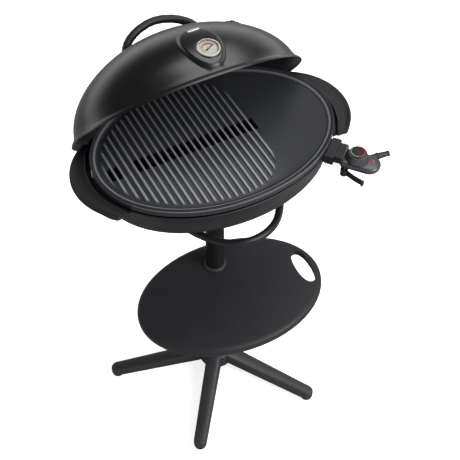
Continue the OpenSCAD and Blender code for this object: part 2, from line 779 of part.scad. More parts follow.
module heating_element() {
    back = lead_path(-1);
    color("#4a4644") bent_bar(concat(lead_path(1),
        arc([element_x, 0, element_z], element_r, lead_dir + lead_turn + 8, 90, 10),
        arc([-element_x, 0, element_z], element_r, 90, 270, 16),
        arc([element_x, 0, element_z], element_r, -90, lead_dir - lead_turn - 8, 5),
        [for (i = [len(back) - 1 : -1 : 0]) back[i]]), element_d / 2, 8);
}

clip_t = 1.6;

module element_clips() {
    wide = element_d + 2 * seat;
    color("#9a9da0") for (x = [-1, 1], y = [-1, 1])
        translate([x * element_span / 3, y * element_r, under_z - seat]) {
            difference() {
                translate([-6, -wide / 2 - clip_t, -wide - clip_t])
                    cube([12, wide + 2 * clip_t, wide + clip_t]);
                translate([-7, -wide / 2, -wide]) cube([14, wide, wide + 1]);
            }
            for (s = [-1, 1]) translate([-6, s * (wide / 2 + clip_t + 3) - 3.5, -clip_t])
                cube([12, 7, clip_t]);
        }
}

// ================= socket and thermostat plug =================
block_in = 26;
// the block stands this far behind the plate's outline, clear of the skirt
skirt_in = skirt_t + 8;
cavity_w = socket_w - 10;
cavity_h = socket_h - 7;
pin_r = 2.4;
probe_r = 3;

module socket_shroud() {
    color("#252628") at_socket() difference() {
        union() {
            translate([socket_out, -socket_w / 2, -socket_h / 2])
                cube([socket_l - socket_out, socket_w, socket_h]);
            for (x = [5, 10, 15]) translate([x, -socket_w / 2 - 0.8, -socket_h / 2 - 0.8])
                cube([2, socket_w + 1.6, socket_h + 1.6]);
            translate([-skirt_in, -socket_w / 2 + 2, -socket_h / 2])
                cube([skirt_in + socket_out + 1, socket_w - 4, socket_h / 2 + skirt_z - seat - socket_z]);
            translate([-block_in, -socket_w / 2 + 2, -socket_h / 2])
                cube([block_in - skirt_in, socket_w - 4, under_z - seat - socket_z + socket_h / 2]);
        }
        translate([-14, -cavity_w / 2, -cavity_h / 2]) cube([60, cavity_w, cavity_h]);
        for (s = [-1, 1]) translate([-block_in - 1, s * lead_off, 0]) rotate([0, 90, 0])
            cylinder(r = pin_r + running, h = 20);
        translate([-block_in - 1, 0, 0]) rotate([0, 90, 0]) cylinder(r = probe_r + loose, h = 20);
    }
}

module contact_pins() {
    color("#c0a24a") at_socket() for (s = [-1, 1]) translate([-block_in, s * lead_off, 0])
        rotate([0, 90, 0]) {
            cylinder(r = pin_r, h = block_in + 10);
            translate([0, 0, block_in + 10]) cylinder(r1 = pin_r, r2 = pin_r - 1, h = 1.5);
        }
}

collar_l = 16;
body_x = socket_l + collar_l;
body_end = socket_l + plug_l - plug_w / 2;
collar_w = 45;
split_z = -8;
body_low = split_z - plug_h * 0.65;
body_top = split_z + plug_h * 0.35;
knob_x = socket_l + 46;
lamp_x = socket_l + 80;
lamp_y = 4;

// plan of the plug's body: straight sides with a round end
function plug_plan(inset, z) = let (r = plug_w / 2 - inset) concat(
    [for (t = [-90 : 12 : 90]) [body_end + r * cos(t), r * sin(t), z]],
    [[body_x + inset * 0.3, r, z], [body_x + inset * 0.3, -r, z]]);

// the cord's sleeve leaves the round end on its far side
cord_turn = 42;
cord_x = body_end - 1;
cord_y = plug_w / 2 - 2.5;

module plug_base() {
    color("#46484b") at_socket() difference() {
        union() {
            skin([plug_plan(10, body_low), plug_plan(5, body_low + 1.6), plug_plan(1.6, body_low + 5.5),
                plug_plan(0.3, body_low + 9), plug_plan(0, split_z)]);
            translate([socket_l + seat, -collar_w / 2, -9]) cube([collar_l + 3, collar_w, 18]);
            for (x = [3, 8, 13]) translate([socket_l + x, -collar_w / 2 - 1.4, -9.8])
                cube([2, collar_w + 2.8, 19.6]);
            // web from the collar down into the body
            translate([body_x - 4, -collar_w / 2 + 4, split_z - 8]) cube([12, collar_w - 8, 8]);
            translate([2, -cavity_w / 2 + 1, -cavity_h / 2 + 1]) cube([socket_l, cavity_w - 2, cavity_h - 2]);
        }
        for (s = [-1, 1]) translate([1, s * lead_off, 0]) rotate([0, 90, 0])
            cylinder(r = pin_r + 0.3, h = 16);
        translate([1, 0, 0]) rotate([0, 90, 0]) cylinder(r = probe_r + running, h = 24);
        translate([lever_x, lever_y, body_low - 1]) cylinder(r = lever_pin_r + running, h = pin_up + 1);
        translate([cord_x, cord_y, cord_z]) rotate([0, 0, cord_turn]) rotate([0, 90, 0])
            translate([0, 0, -12]) cylinder(r = relief_r + seat, h = 60);
    }
}

module plug_cover() {
    color("#4b4d50") at_socket() difference() {
        skin([plug_plan(0, split_z + seat), plug_plan(0.5, body_top - 4.5), plug_plan(2.2, body_top - 2.4),
            plug_plan(6, body_top - 0.7), plug_plan(13, body_top)]);
        translate([knob_x, 0, body_top - 5]) cylinder(r = 3 + running, h = 40);
        translate([lamp_x, lamp_y, body_top - 5]) cylinder(r = 3 + running, h = 40);
        translate([socket_l, -plug_w / 2 - 1, -30]) cube([collar_l + 3 + seat, plug_w + 2, 60]);
        translate([cord_x, cord_y, cord_z]) rotate([0, 0, cord_turn]) rotate([0, 90, 0])
            translate([0, 0, -12]) cylinder(r = relief_r + seat, h = 60);
    }
}

module temperature_probe() {
    color("#b4b7ba") at_socket() translate([2 - probe_l, 0, 0]) rotate([0, 90, 0]) {
        cylinder(r = probe_r, h = probe_l + 20);
        sphere(r = probe_r, $fn = 24);
    }
}

module control_knob() {
    color("#55575a") at_socket() translate([knob_x, 0, body_top + seat]) difference() {
        union() {
            rotate_extrude() polygon([[0, 0], [knob_d / 2 - 1, 0], [knob_d / 2, 1], [knob_d / 2 - 0.5, 3],
                [knob_top_d / 2 + 0.8, knob_h - 1.2], [knob_top_d / 2, knob_h], [0, knob_h]]);
            translate([0, 0, -4.6]) cylinder(r = 3, h = 5.6);
        }
        translate([0, 0, knob_h - 2]) cylinder(r = cap_r + 0.2, h = 4);
    }
}

cap_r = knob_top_d / 2 - 1.8;

module knob_cap() {
    color("#161719") at_socket() translate([knob_x, 0, body_top + seat + knob_h - 2]) rotate_extrude()
        polygon([[0, 0], [cap_r, 0], [cap_r, 2.4], [cap_r - 1, 3.2], [cap_r - 6, 3.8], [0, 4]]);
}

module pilot_lamp() {
    color("#d05050") at_socket() translate([lamp_x, lamp_y, 0]) {
        translate([0, 0, body_top - 4.7]) cylinder(r = 3, h = 4.7);
        translate([0, 0, body_top]) rotate_extrude() polygon([[0, 0], [3.4, 0], [3, 1], [2, 1.8], [0, 2.2]]);
    }
}

cord_z = split_z - 2;
relief_l = 41;
relief_r = 7.2;

module strain_relief() {
    color("#202123") at_socket() translate([cord_x, cord_y, cord_z]) rotate([0, 90, cord_turn])
        difference() {
            rotate_extrude() polygon([[0, -8], [relief_r, -8], [relief_r, 11], [relief_r + 1.2, 11.5],
                [relief_r + 1.2, 14.5], [relief_r, 16], [5.8, relief_l - 4], [6.6, relief_l - 3],
                [6.6, relief_l], [0, relief_l]]);
            translate([0, 0, relief_l - 14]) cylinder(r = 3.4, h = 20);
        }
}

// the lever hangs under the body on a pin; its arm is a flat bow that reaches out beside the body
lever_x = socket_l + 25;
lever_y = -plug_w / 2 + 4;
lever_r = 8.5;
lever_pin_r = 2.2;
lever_top = body_low - seat;
lever_low = body_low - 16;
lever_h = 12;
bow_arm_r = 145;
bow_arm_from = 237;
bow_arm_turn = 21;
pin_up = 9;

// plan of the bow with the pad at its end, about the bow's own centre
module bow_plan() {
    end = bow_arm_from + bow_arm_turn;
    out = [cos(end), sin(end)];
    on = [-sin(end), cos(end)];
    polygon(concat([for (p = arc([0, 0, 0], bow_arm_r + 2.5, bow_arm_from, end - 1.2, 10)) [p[0], p[1]]],
        [(bow_arm_r + 5.5) * out - 3 * on, (bow_arm_r + 5.5) * out + 1.5 * on,
         (bow_arm_r - 2.5) * out + 1.5 * on],
        [for (p = arc([0, 0, 0], bow_arm_r - 2.5, end, bow_arm_from, 10)) [p[0], p[1]]]));
}

module release_lever() {
    color("#2b2c2e") at_socket() difference() {
        union() {
            translate([lever_x, lever_y, lever_low]) cylinder(r = lever_r, h = lever_top - lever_low);
            translate([lever_x - bow_arm_r * cos(bow_arm_from), lever_y + 3 - bow_arm_r * sin(bow_arm_from),
                lever_low + 1]) linear_extrude(height = lever_h) bow_plan();
        }
        translate([lever_x, lever_y, lever_low - 1]) cylinder(r = lever_pin_r + running, h = 30);
    }
}

module lever_pin() {
    color("#a7abae") at_socket() translate([lever_x, lever_y, lever_low - 1.8]) {
        cylinder(r = lever_pin_r, h = body_low + pin_up - 0.5 - lever_low + 1.8);
        cylinder(r = 3.6, h = 1.5);
    }
}

// ================= lid =================
// everything on the lid is drawn with the rim's centre at the origin and the closed lid's dome upwards
module on_lid() {
    translate([0, hinge_y, hinge_z]) rotate([-lid_open, 0, 0]) translate([0, -hinge_y, hinge_drop])
        children();
}

dome_edge = 2.05;
dome_a = dome_l / 2;
dome_b = dome_w / 2;
// share of the dome's width left at a height
function dome_share(w) = pow(max(1 - pow(w / dome_h, dome_power), 0), 1 / dome_power);
function dome_ring(w) = let (s = dome_share(w)) ring(dome_a * s, dome_b * s, dome_edge, w);
// height of the dome over a point of the rim plane
function dome_at(x, y) = let (g = pow(abs(x) / dome_a, dome_edge) + pow(abs(y) / dome_b, dome_edge))
    dome_h * pow(max(1 - pow(g, dome_power / dome_edge), 0), 1 / dome_power);
// distance of the dome's surface from the middle plane, at a sideways place and a height
function dome_y(x, w) = dome_b * pow(max(pow(dome_share(w), dome_edge) - pow(abs(x) / dome_a, dome_edge), 0),
    1 / dome_edge);
// outward direction of the dome's surface
function dome_normal(x, y, w) = let (
    g = pow(abs(x) / dome_a, dome_edge) + pow(abs(y) / dome_b, dome_edge),
    k = pow(max(g, 0.001), dome_power / dome_edge - 1),
    v = [k * sign(x) * pow(abs(x) / dome_a, dome_edge - 1) / dome_a,
        k * sign(y) * pow(abs(y) / dome_b, dome_edge - 1) / dome_b,
        pow(w / dome_h, dome_power - 1) / dome_h])
    v / norm(v);
// turns +Z onto a direction
module along(v) {
    rotate([0, acos(v[2]), atan2(v[1], v[0])]) children();
}

dome_steps = [0.2, 0.38, 0.54, 0.68, 0.8, 0.89, 0.95, 0.985];
band_out_a = lid_l / 2;
band_out_b = lid_w / 2;
function band_ring(share, inset, w) = ring(dome_a + (band_out_a - dome_a) * share - inset,
    dome_b + (band_out_b - dome_b) * share - inset, dome_edge, w);

gauge_y = -dome_y(gauge_x, gauge_up);
gauge_n = dome_normal(gauge_x, gauge_y, gauge_up);
boss_x = gauge_x - 6;
boss_up = gauge_up + 17;
boss_y = -dome_y(boss_x, boss_up);
boss_n = dome_normal(boss_x, boss_y, boss_up);
vent_up = dome_at(vent_x, vent_y);
vent_n = dome_normal(vent_x, -vent_y, vent_up);

// the dome's form as a block, with its surface moved out
module dome_solid(grow, count = N) {
    skin(concat([ring(dome_a + grow, dome_b + grow, dome_edge, -1, count)],
        [for (s = concat([0.05], dome_steps)) let (w = dome_h * s, q = dome_share(w))
            ring(dome_a * q + grow, dome_b * q + grow, dome_edge, w + grow * s, count)]));
}

module boss() {
    intersection() {
        difference() {
            dome_solid(boss_t);
            dome_solid(-0.4);
        }
        translate([boss_x, boss_y, boss_up]) along(boss_n) translate([0, 0, -30])
            linear_extrude(height = 60) polygon([for (t = [0 : 12 : 348])
                [boss_h / 2 * cos(t), boss_w / 2 * sin(t) * (1 - 0.08 * cos(t))]]);
    }
}

module lid_shell() {
    color("#2e3032") on_lid() difference() {
        union() {
            skin(concat(
                [for (i = [len(dome_steps) - 1 : -1 : 0]) let (w = dome_h * dome_steps[i])
                    dome_ring_in(w)],
                [band_ring(0.05, lid_t, band_h), band_ring(0.3, lid_t, band_h - 2), band_ring(1, lid_t, 0.4),
                 band_ring(1, lid_t * 0.5, 0), band_ring(1, 0, 0.4), band_ring(0.92, 0, 3),
                 band_ring(0.3, 0, band_h - 1.5), band_ring(0.12, 0, band_h)],
                [for (s = dome_steps) dome_ring(dome_h * s)]));
            boss();
        }
        translate([gauge_x, gauge_y, gauge_up]) along(gauge_n) {
            translate([0, 0, -20]) cylinder(r = 4.5, h = 40);
            translate([0, 0, gauge_seat - seat]) cylinder(r = gauge_d / 2 + seat, h = 40);
        }
        for (s = [-1, 1]) bow_screw_at(s) translate([0, 0, -20]) cylinder(r = 2.6, h = 30, $fn = 16);
        for (s = [-1, 1], k = [0, 1]) arm_screw_at(s, k) translate([0, 0, -12])
            cylinder(r = 2.4, h = 20, $fn = 16);
        translate([vent_x, -vent_y, vent_up]) along(vent_n) {
            translate([0, 0, -15]) cylinder(r = 2.2, h = 30, $fn = 16);
            for (a = [0 : 90 : 270]) rotate([0, 0, a]) translate([vent_hole_at, 0, -15])
                cylinder(r = vent_hole_r, h = 30, $fn = 16);
        }
    }
}

// inner ring of the shell, set in along the surface
function dome_ring_in(w) = let (q = dome_share(w), flat = w / dome_h)
    let (in = lid_t * (1 - flat * 0.5)) ring(dome_a * q - in, dome_b * q - in, dome_edge, w - lid_t * flat);

arm_back = band_out_b + 1.5;
arm_up = 40;

elbow_r = 20;

// side view of an arm: an eye, a bar under the bowl, an elbow, an upright bar and a pad against the dome
module arm_profile() {
    pad_x = arm_x - arm_w / 2;
    pad_low = band_h + 5;
    elbow = [arm_back + arm_t - elbow_r, -hinge_drop - arm_t / 2 + elbow_r];
    turn = function (r, from, to) [for (i = [0 : 6]) let (a = from + (to - from) * i / 6)
        elbow + r * [cos(a), sin(a)]];
    difference() {
        union() {
            translate([hinge_y, -hinge_drop]) circle(r = eye_r);
            polygon(concat([[hinge_y, -hinge_drop - arm_t / 2]], turn(elbow_r, -90, 0),
                [[arm_back + arm_t, arm_up]],
                [for (i = [4 : -1 : 0]) let (w = pad_low + (arm_up - pad_low) * i / 4)
                    [dome_y(pad_x, w) + 2 * seat, w]],
                [[arm_back, pad_low]], turn(elbow_r - arm_t, 0, -90), [[hinge_y, -hinge_drop + arm_t / 2]]));
        }
        translate([hinge_y, -hinge_drop]) circle(r = rod_d / 2 + running);
    }
}

module lid_arm(s) {
    color("#2a2b2d") on_lid() difference() {
        translate([s * arm_x - arm_w / 2, 0, 0]) rotate([90, 0, 90]) linear_extrude(height = arm_w)
            arm_profile();
        for (k = [0, 1]) arm_screw_at(s, k) translate([0, 0, -12]) cylinder(r = 2.4, h = 60);
    }
}

module arm_screw_at(s, k) {
    translate([s * arm_x, dome_y(arm_x, 22 + 11 * k), 22 + 11 * k]) rotate([-90, 0, 0]) children();
}

module arm_screws() {
    color("#9a9da0") on_lid() for (s = [-1, 1], k = [0, 1]) {
        reach = arm_back + arm_t - dome_y(arm_x, 22 + 11 * k) + seat;
        arm_screw_at(s, k) {
            translate([0, 0, -8]) cylinder(r = 2.2, h = 8 + reach);
            translate([0, 0, reach]) cylinder(r = 4.2, h = 2.6);
            translate([0, 0, -lid_t - 6]) cylinder(r = 4, h = 3.2, $fn = 6);
        }
    }
}

module lid_arm_left() {
    lid_arm(-1);
}

module lid_arm_right() {
    lid_arm(1);
}

// ---- bow handle on top of the dome
bow_x = (bow_l - bow_d) / 2;
bow_base = dome_h * 0.895;
bow_rise = bow_top - bow_d / 2 - bow_base;

function bow_point(t) = [bow_x * power(cos(t), 1.74), 0, bow_base + bow_rise * power(sin(t), 1.74)];
// round section that is wider than thick, square to the bow's run
function bow_section(t) =
    let (d = bow_point(min(t + 1, 180)) - bow_point(max(t - 1, 0)), u = d / norm(d), out = [u[2], 0, -u[0]],
        grow = 1 + 0.25 * pow(abs(cos(t)), 6))
    [for (a = [0 : 30 : 330])
        bow_point(t) + out * (bow_d / 2 * cos(a)) + [0, 1, 0] * (bow_d * 0.55 * grow * sin(a))];

module lid_handle() {
    color("#1d1e20") on_lid() difference() {
        skin([for (t = [0, 4, 9, 16, 25, 36, 48, 60, 75, 90, 105, 120, 132, 144, 155, 164, 171, 176, 180])
            bow_section(t)]);
        dome_solid(2 * seat, 36);
        for (s = [-1, 1]) bow_screw_at(s) translate([0, 0, -4]) cylinder(r = 2.2, h = 18);
    }
}

module bow_screw_at(s) {
    translate([s * (bow_x - 1), 0, dome_at(bow_x, 0)]) children();
}

module handle_nuts() {
    color("#9a9da0") on_lid() for (s = [-1, 1]) bow_screw_at(s) {
        translate([0, 0, -lid_t - 7]) cylinder(r = 5, h = 3.5);
        translate([0, 0, -lid_t - 5]) cylinder(r = 2, h = 16);
    }
}

// ---- thermometer, square to the dome
needle_pin_r = 1;
// the case stands in a recess of the boss
gauge_seat = boss_t - 5;

module at_gauge() {
    on_lid() translate([gauge_x, gauge_y, gauge_up]) along(gauge_n)
        translate([0, 0, gauge_seat]) rotate([0, 0, 90]) children();
}

module gauge_case() {
    r = gauge_d / 2;
    color("#c9ccce") at_gauge() rotate_extrude() polygon([[4 + running, 0], [r - 2, 0], [r, 2],
        [r, gauge_h - 2], [r - 1.2, gauge_h], [r - 3.4, gauge_h], [r - 4, gauge_h - 2], [r - 4, 1.4],
        [4 + running, 1.4]]);
}

module gauge_dial() {
    color("#f2f2ee") at_gauge() translate([0, 0, 1.4 + 0.1]) difference() {
        cylinder(r = gauge_d / 2 - 4.2, h = 1);
        translate([0, 0, -1]) cylinder(r = 1.5, h = 4);
    }
}

module gauge_needle() {
    color("#1a1a1a") at_gauge() translate([0, 0, 3]) {
        difference() {
            union() {
                rotate([0, 0, -60]) translate([-0.6, -6, 0]) cube([1.2, 20, 0.7]);
                cylinder(r = 2.4, h = 0.9);
            }
            translate([0, 0, -1]) cylinder(r = needle_pin_r + running, h = 4);
        }
    }
}

module gauge_glass() {
    color("#dfe6ea", 0.35) at_gauge() translate([0, 0, gauge_h - 1.9])
        cylinder(r = gauge_d / 2 - 4.1, h = 1.2);
}

module gauge_stem() {
    color("#b4b7ba") at_gauge() {
        translate([0, 0, -gauge_seat - 46]) cylinder(r = 2.5, h = 40);
        translate([0, 0, -gauge_seat - 12]) cylinder(r = 4, h = gauge_seat + 13.2);
        cylinder(r = needle_pin_r, h = 4.3);
    }
}

module gauge_nut() {
    color("#a7abae") at_gauge() translate([0, 0, -gauge_seat - lid_t - 5]) difference() {
        cylinder(r = 8, h = 3.4, $fn = 6);
        translate([0, 0, -1]) cylinder(r = 4 + running, h = 6);
    }
}

// ---- turning vent plate
vent_pin_r = 2;
vent_hole_r = 4;
vent_hole_at = vent_d * 0.29;

module vent_plate() {
    color("#2a2b2d") on_lid() translate([vent_x, -vent_y, vent_up]) along(vent_n) difference() {
        rotate_extrude() polygon([[0, 1], [vent_d / 2, 1], [vent_d / 2, 2.6], [vent_d / 2 - 2, 3.6],
            [9, 4.4], [8, 6.6], [0, 7]]);
        cylinder(r = vent_pin_r + running, h = 9);
        for (a = [0 : 90 : 270]) rotate([0, 0, a]) translate([vent_hole_at + 1, 0, 0])
            cylinder(r = vent_hole_r, h = 8);
    }
}

module vent_pin() {
    color("#a7abae") on_lid() translate([vent_x, -vent_y, vent_up]) along(vent_n) {
        translate([0, 0, -6]) cylinder(r = vent_pin_r, h = 14.2);
        translate([0, 0, 7.3]) cylinder(r = 4, h = 1.4);
        translate([0, 0, -6]) cylinder(r = 4.5, h = 2);
    }
}

star_base();
foot(leg_angles[0]);  // foot_back
foot(leg_angles[1]);  // foot_right
foot(leg_angles[2]);  // foot_left
foot(leg_angles[3]);  // foot_front_right
foot(leg_angles[4]);  // foot_front_left
base_bolt();
lower_pole();
pole_coupler();
table_collar();
table_flange();
table_screws();
side_table();
upper_pole();
bowl_carrier();
carrier_bolts();
front_rail();
hinge_brackets();
hinge_rod();
rod_caps();
stop_bar();
bowl();
drip_tray();
left_handle();
right_handle();
handle_screws();
grill_plate();
heating_element();
element_clips();
socket_shroud();
contact_pins();
plug_base();
plug_cover();
temperature_probe();
control_knob();
knob_cap();
pilot_lamp();
strain_relief();
release_lever();
lever_pin();
lid_shell();
lid_arm_left();
lid_arm_right();
arm_screws();
lid_handle();
handle_nuts();
gauge_case();
gauge_dial();
gauge_needle();
gauge_glass();
gauge_stem();
gauge_nut();
vent_plate();
vent_pin();
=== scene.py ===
import bmesh
import bpy
import json
import math
from mathutils import Matrix, Vector


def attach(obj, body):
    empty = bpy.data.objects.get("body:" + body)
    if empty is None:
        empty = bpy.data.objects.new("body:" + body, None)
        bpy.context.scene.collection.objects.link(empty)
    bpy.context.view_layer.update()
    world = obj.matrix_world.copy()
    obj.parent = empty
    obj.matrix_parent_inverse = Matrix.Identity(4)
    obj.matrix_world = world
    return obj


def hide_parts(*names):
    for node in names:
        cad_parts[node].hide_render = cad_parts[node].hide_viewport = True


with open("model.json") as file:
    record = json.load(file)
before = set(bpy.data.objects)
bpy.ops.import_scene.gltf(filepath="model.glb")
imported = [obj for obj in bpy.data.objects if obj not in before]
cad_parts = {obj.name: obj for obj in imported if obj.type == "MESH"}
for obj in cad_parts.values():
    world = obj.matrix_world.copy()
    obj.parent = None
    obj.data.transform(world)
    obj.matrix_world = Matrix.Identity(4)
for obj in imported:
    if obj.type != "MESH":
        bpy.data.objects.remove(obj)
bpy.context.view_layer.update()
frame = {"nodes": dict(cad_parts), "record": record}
bpy.ops.object.select_all(action="DESELECT")

# ---- Studio: the camera stands high at the front left, over a pale floor and under three large
# soft lamps, so that the dark plastics and the enamel show long, quiet reflections.
CAMERA_AT = Vector((-0.7449, -1.4784, 2.5152))
CAMERA_YAW, CAMERA_PITCH, CAMERA_ROLL = 28.018, 49.749, -0.317
CAMERA_LENS, CAMERA_SENSOR = 83.07, 36
bpy.ops.object.camera_add(location=CAMERA_AT)
camera = bpy.context.object
camera.data.lens = CAMERA_LENS
camera.data.sensor_width = CAMERA_SENSOR
camera.rotation_euler = (Matrix.Rotation(math.radians(-CAMERA_YAW), 3, "Z")
                         @ Matrix.Rotation(math.radians(90 - CAMERA_PITCH), 3, "X")
                         @ Matrix.Rotation(math.radians(-CAMERA_ROLL), 3, "Z")).to_euler()
bpy.context.scene.camera = camera
bpy.context.scene.view_settings.view_transform = "Standard"


def new_material(name):
    """A new material, with its node tree and its main shader."""
    made = bpy.data.materials.new(name)
    made.use_nodes = True
    return made, made.node_tree, made.node_tree.nodes["Principled BSDF"]


def ramp(tree, source, span, levels, curve="LINEAR"):
    """A value that goes from one level to another while its source crosses a span."""
    node = tree.nodes.new("ShaderNodeMapRange")
    node.interpolation_type = curve
    for key, value in zip(("From Min", "From Max", "To Min", "To Max"), (*span, *levels)):
        node.inputs[key].default_value = value
    tree.links.new(source, node.inputs["Value"])
    return node.outputs["Result"]


def mixed(tree, kind, factor, first, second):
    """A number or a colour between two others, each of them plain or another node's output."""
    node = tree.nodes.new("ShaderNodeMix")
    node.data_type = kind
    tree.links.new(factor, node.inputs["Factor"])
    for key, source in (("A", first), ("B", second)):
        if isinstance(source, bpy.types.NodeSocket):
            tree.links.new(source, node.inputs[key])
        else:
            node.inputs[key].default_value = source
    return node.outputs["Result"]


def combined(tree, operation, first, second):
    """One number made from two by a step of arithmetic."""
    node = tree.nodes.new("ShaderNodeMath")
    node.operation = operation
    tree.links.new(first, node.inputs[0])
    tree.links.new(second, node.inputs[1])
    return node.outputs["Value"]


def place_parts(tree, kind):
    """The X, Y and Z of a place or direction, in one of the kinds of coordinates."""
    coordinates = tree.nodes.new("ShaderNodeTexCoord")
    parts = tree.nodes.new("ShaderNodeSeparateXYZ")
    tree.links.new(coordinates.outputs[kind], parts.inputs["Vector"])
    return parts.outputs


# the floor looks nearly white to the camera, and stays a dull grey in what the object reflects
FLOOR_SIZE = 12.0
FLOOR_ROUGHNESS = 0.9
FLOOR_REFLECTED, FLOOR_SEEN = (0.34, 0.34, 0.34, 1), (0.86, 0.86, 0.86, 1)
FLOOR_GLOW_REFLECTED, FLOOR_GLOW_SEEN = 0.05, 0.72
WHITE = (1, 1, 1, 1)
bpy.ops.mesh.primitive_plane_add(size=FLOOR_SIZE, location=(0, 0, 0))
floor = bpy.context.object
floor.name = "floor"
floor_paint, floor_tree, floor_shader = new_material("floor_paint")
floor_shader.inputs["Roughness"].default_value = FLOOR_ROUGHNESS
floor_shader.inputs["Emission Color"].default_value = WHITE
floor_rays = floor_tree.nodes.new("ShaderNodeLightPath")
floor_seen = floor_rays.outputs["Is Camera Ray"]
floor_shade = mixed(floor_tree, "RGBA", floor_seen, FLOOR_REFLECTED, FLOOR_SEEN)
floor_glow = ramp(floor_tree, floor_seen, (0.0, 1.0), (FLOOR_GLOW_REFLECTED, FLOOR_GLOW_SEEN))
floor_tree.links.new(floor_shade, floor_shader.inputs["Base Color"])
floor_tree.links.new(floor_glow, floor_shader.inputs["Emission Strength"])
floor.data.materials.append(floor_paint)


def soft_lamp(name, at, aim, width, height, power):
    """A rectangular soft box that faces a point."""
    bpy.ops.object.light_add(type="AREA", location=at)
    lamp = bpy.context.object
    lamp.name = name
    lamp.data.shape = "RECTANGLE"
    lamp.data.size = width
    lamp.data.size_y = height
    lamp.data.energy = power
    lamp.rotation_euler = (Vector(aim) - Vector(at)).to_track_quat("-Z", "Y").to_euler()


soft_lamp("top_box", at=(1.00, 0.30, 3.20), aim=(0, 0.1, 0.95), width=2.2, height=1.9, power=36)
soft_lamp("front_box", at=(1.20, -2.00, 2.30), aim=(0, -0.1, 0.7), width=1.5, height=1.5, power=70)
soft_lamp("right_box", at=(2.00, 1.60, 1.75), aim=(0, 0, 0.9), width=1.7, height=1.2, power=2)

# the studio's air: reflections meet a wall that is white low down and dark above, matt surfaces get an
# even fill, and the camera sees plain white past the floor
WALL_HEIGHTS, WALL_LEVELS = (0.05, 0.38), (1.25, 0.05)
FILL_LEVEL, SEEN_LEVEL = 0.45, 1.0
world = bpy.data.worlds.new("studio_air")
bpy.context.scene.world = world
world.use_nodes = True
air = world.node_tree
backdrop = air.nodes["Background"]
backdrop.inputs["Color"].default_value = WHITE
rays = air.nodes.new("ShaderNodeLightPath")
seen = combined(air, "MAXIMUM", rays.outputs["Is Camera Ray"], rays.outputs["Is Transmission Ray"])
wall = ramp(air, place_parts(air, "Generated")["Z"], WALL_HEIGHTS, WALL_LEVELS, curve="SMOOTHSTEP")
fill = mixed(air, "FLOAT", rays.outputs["Is Diffuse Ray"], wall, FILL_LEVEL)
strength = mixed(air, "FLOAT", seen, fill, SEEN_LEVEL)
air.links.new(strength, backdrop.inputs["Strength"])

# ---- Star base: one moulded plastic piece with five legs round a hub, satin black with a fine grain,
# on five round rubber feet, one under the end of each leg. Every moulded, painted or plated finish of
# the grill uses the same grain group, with values of its own.
DRIFT_SPAN = (0.3, 0.7)
WELD = 0.000002


def grain_group():
    """Fine moulded grain: a height for the bump, and a slow drift for colour and roughness."""
    group = bpy.data.node_groups.new("grain", "ShaderNodeTree")
    for name, value in (("Scale", 900.0), ("Drift Scale", 14.0)):
        socket = group.interface.new_socket(name, in_out="INPUT", socket_type="NodeSocketFloat")
        socket.default_value = value
    for name in ("Height", "Drift"):
        group.interface.new_socket(name, in_out="OUTPUT", socket_type="NodeSocketFloat")
    inner = group.nodes.new("NodeGroupInput")
    outer = group.nodes.new("NodeGroupOutput")
    place = group.nodes.new("ShaderNodeTexCoord")
    for output, scale, detail in (("Height", "Scale", 3), ("Drift", "Drift Scale", 4)):
        noise = group.nodes.new("ShaderNodeTexNoise")
        noise.inputs["Detail"].default_value = detail
        group.links.new(place.outputs["Object"], noise.inputs["Vector"])
        group.links.new(inner.outputs[scale], noise.inputs["Scale"])
        group.links.new(noise.outputs["Fac"], outer.inputs[output])
    return group


grain = grain_group()


def finish(name, dark, light, smooth, rough, scale, depth, metal=0.0, shine=0.5):
    """A surface whose colour and gloss drift between two values, with a fine grain in the bump."""
    made, tree, shader = new_material(name)
    shader.inputs["Metallic"].default_value = metal
    shader.inputs["Specular IOR Level"].default_value = shine
    source = tree.nodes.new("ShaderNodeGroup")
    source.node_tree = grain
    source.inputs["Scale"].default_value = scale
    drift = source.outputs["Drift"]
    bump = tree.nodes.new("ShaderNodeBump")
    bump.inputs["Distance"].default_value = depth
    tree.links.new(mixed(tree, "RGBA", drift, (*dark, 1), (*light, 1)), shader.inputs["Base Color"])
    tree.links.new(ramp(tree, drift, DRIFT_SPAN, (smooth, rough)), shader.inputs["Roughness"])
    tree.links.new(source.outputs["Height"], bump.inputs["Height"])
    tree.links.new(bump.outputs["Normal"], shader.inputs["Normal"])
    return made


def paint(node, material):
    """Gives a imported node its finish."""
    piece = frame["nodes"][node]
    piece.data.materials.clear()
    piece.data.materials.append(material)


def body_of(node):
    """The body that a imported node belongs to."""
    return next(b for b, names in frame["record"]["behaviour"]["bodies"].items() if node in names)


def select_only(piece):
    """Selects one piece and makes it the active one."""
    bpy.ops.object.select_all(action="DESELECT")
    piece.select_set(True)
    bpy.context.view_layer.objects.active = piece


def shade(piece, angle):
    """Shades a piece smoothly, but keeps the edges that turn by more than an angle crisp."""
    select_only(piece)
    bpy.ops.object.shade_smooth_by_angle(angle=math.radians(angle))


def smooth_copy(node, material, angle=38):
    """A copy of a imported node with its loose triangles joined, so that its curves shade smoothly."""
    piece = bpy.data.objects.new(node + "_skin", frame["nodes"][node].data.copy())
    bpy.context.scene.collection.objects.link(piece)
    select_only(piece)
    bpy.ops.mesh.customdata_custom_splitnormals_clear()
    bpy.ops.object.mode_set(mode="EDIT")
    bpy.ops.mesh.select_all(action="SELECT")
    bpy.ops.mesh.remove_doubles(threshold=WELD)
    bpy.ops.object.mode_set(mode="OBJECT")
    shade(piece, angle)
    piece.data.materials.clear()
    piece.data.materials.append(material)
    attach(piece, body_of(node))
    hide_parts(node)
    return piece


